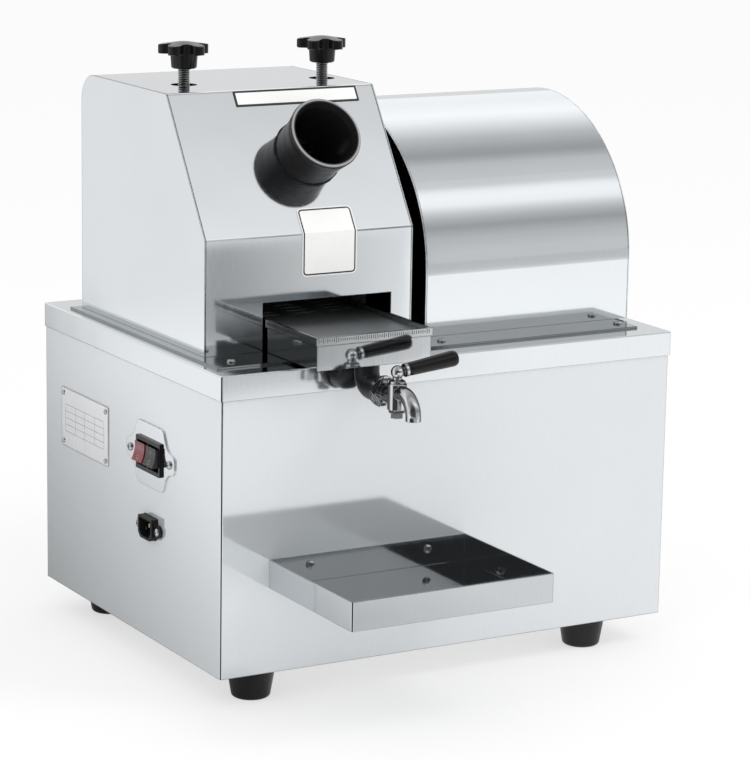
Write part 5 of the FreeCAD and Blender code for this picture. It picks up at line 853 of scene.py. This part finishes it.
# ---------------------------------------------------------------- switch
# A double rocker switch snapped into a polished ear plate: a red rocker for the power and
# a dark one for the direction, each with a painted ring and bar.
# A painted dark reflection runs along the ear plate's edges, broken in places.
ear_plate = polished_sheet("plate_sheet", (0.785, 0.81, 0.83), wave=9.0, wave_depth=0.0002, change=0.03,
                           rough=0.07, edge=0.0006, edge_width=0.0007, edge_colour=(0.06, 0.06, 0.065),
                           edge_broken=True)
dress(ear_plate, "switch_plate")
dress(glossy, "switch_bezel")
rocker_grey = finish("rocker_grey", (0.03, 0.03, 0.032), grain=(800, 800, 800), depth=0.000004, change=0.2,
                     rough=0.28, edge=0.0004)
dress(rocker_grey, "direction_rocker")
rocker_red = finish("rocker_red", (0.17, 0.014, 0.022), grain=(300, 300, 300), wave=90.0, change=0.25,
                    rough=0.18, edge=0.0004, Subsurface_Weight=0.15, Coat_Weight=0.4)
dress(rocker_red, "power_rocker")
faint = finish("mark_paint", (0.3, 0.3, 0.3), change=0.3, rough=0.5)
bezel_low, bezel_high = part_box("switch_bezel")
pivot_z = (bezel_low.z + bezel_high.z) / 2
pivot_x, face_reach, rocker_half = shell_low.x + 0.001, 0.01, 0.0098
dish_radius, rocker_tip, paint_lift = 0.03, radians(11.5), 0.00005
sag = dish_radius - sqrt(dish_radius ** 2 - rocker_half ** 2)


def on_rocker(across_face, up_face):
    """A point just proud of the rocker's dished face, tipped as the rocker is."""
    x = -face_reach - dish_radius + sag + sqrt(dish_radius ** 2 - up_face ** 2) - paint_lift
    return Vector((pivot_x + x * cos(rocker_tip) + up_face * sin(rocker_tip), pivot_y + across_face,
                   pivot_z - x * sin(rocker_tip) + up_face * cos(rocker_tip)))


ring_steps, ring_outer, ring_inner, ring_height = 24, 0.0023, 0.0018, -0.005
bar_half, bar_bottom, bar_step, bar_steps = 0.0003, 0.0028, 0.001, 4
for name in ("direction_rocker", "power_rocker"):
    rocker_low, rocker_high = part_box(name)
    pivot_y = (rocker_low.y + rocker_high.y) / 2
    marks = bmesh.new()
    for k in range(ring_steps):
        a0, a1 = 2 * pi * k / ring_steps, 2 * pi * (k + 1) / ring_steps
        add_face(marks, [on_rocker(r * cos(a), ring_height + r * sin(a)) for r, a in
                         ((ring_outer, a0), (ring_outer, a1), (ring_inner, a1), (ring_inner, a0))])
    for k in range(bar_steps):
        low_z = bar_bottom + k * bar_step
        add_face(marks, [on_rocker(y, z) for y, z in ((-bar_half, low_z), (-bar_half, low_z + bar_step),
                                                      (bar_half, low_z + bar_step), (bar_half, low_z))])
    bmesh.ops.remove_doubles(marks, verts=marks.verts, dist=same_place)
    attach(mesh_of(marks, name + "_marks", faint), name + "_body")

# ---------------------------------------------------------------- power inlet
# A matt black moulding with a socket and three brass contacts in it. Its two ears are
# screwed to the left wall.
matt = finish("black_matt", (0.010, 0.010, 0.011), grain=(2200, 2200, 2200), depth=0.00001, change=0.3,
              rough=0.5, edge=0.0004, edge_colour=(0.16, 0.16, 0.17), Specular_IOR_Level=0.2)
dress(matt, "inlet_body")
brass = finish("contact_brass", (0.72, 0.62, 0.38), grain=(200, 1500, 1500), depth=0.000002, rough=0.25,
               Metallic=1.0)
dress(brass, "inlet_pins")

# ---------------------------------------------------------------- gear motor
# A cast finned motor on a painted gearbox stands under the arched cover. A jaw coupling
# with a rubber spider joins its milled shaft to the rear roller.
paint = finish("gearbox_paint", (0.15, 0.19, 0.23), grain=(260, 260, 260), depth=0.00003, change=0.15,
               rough=0.42, edge=0.0008, edge_colour=(0.35, 0.37, 0.39))
dress(paint, "gearbox", "motor_end_cap")
alloy = finish("motor_alloy", (0.6, 0.61, 0.62), depth=0.00002, change=0.12, rough=0.46, edge=0.0006,
               Metallic=1.0)
dress(alloy, "motor_body")
dress(machined, "gearbox_shaft")
dress(geared, "coupling_hubs")
dress(rubber, "coupling_spider")
dress(bright, "gearbox_bolts")
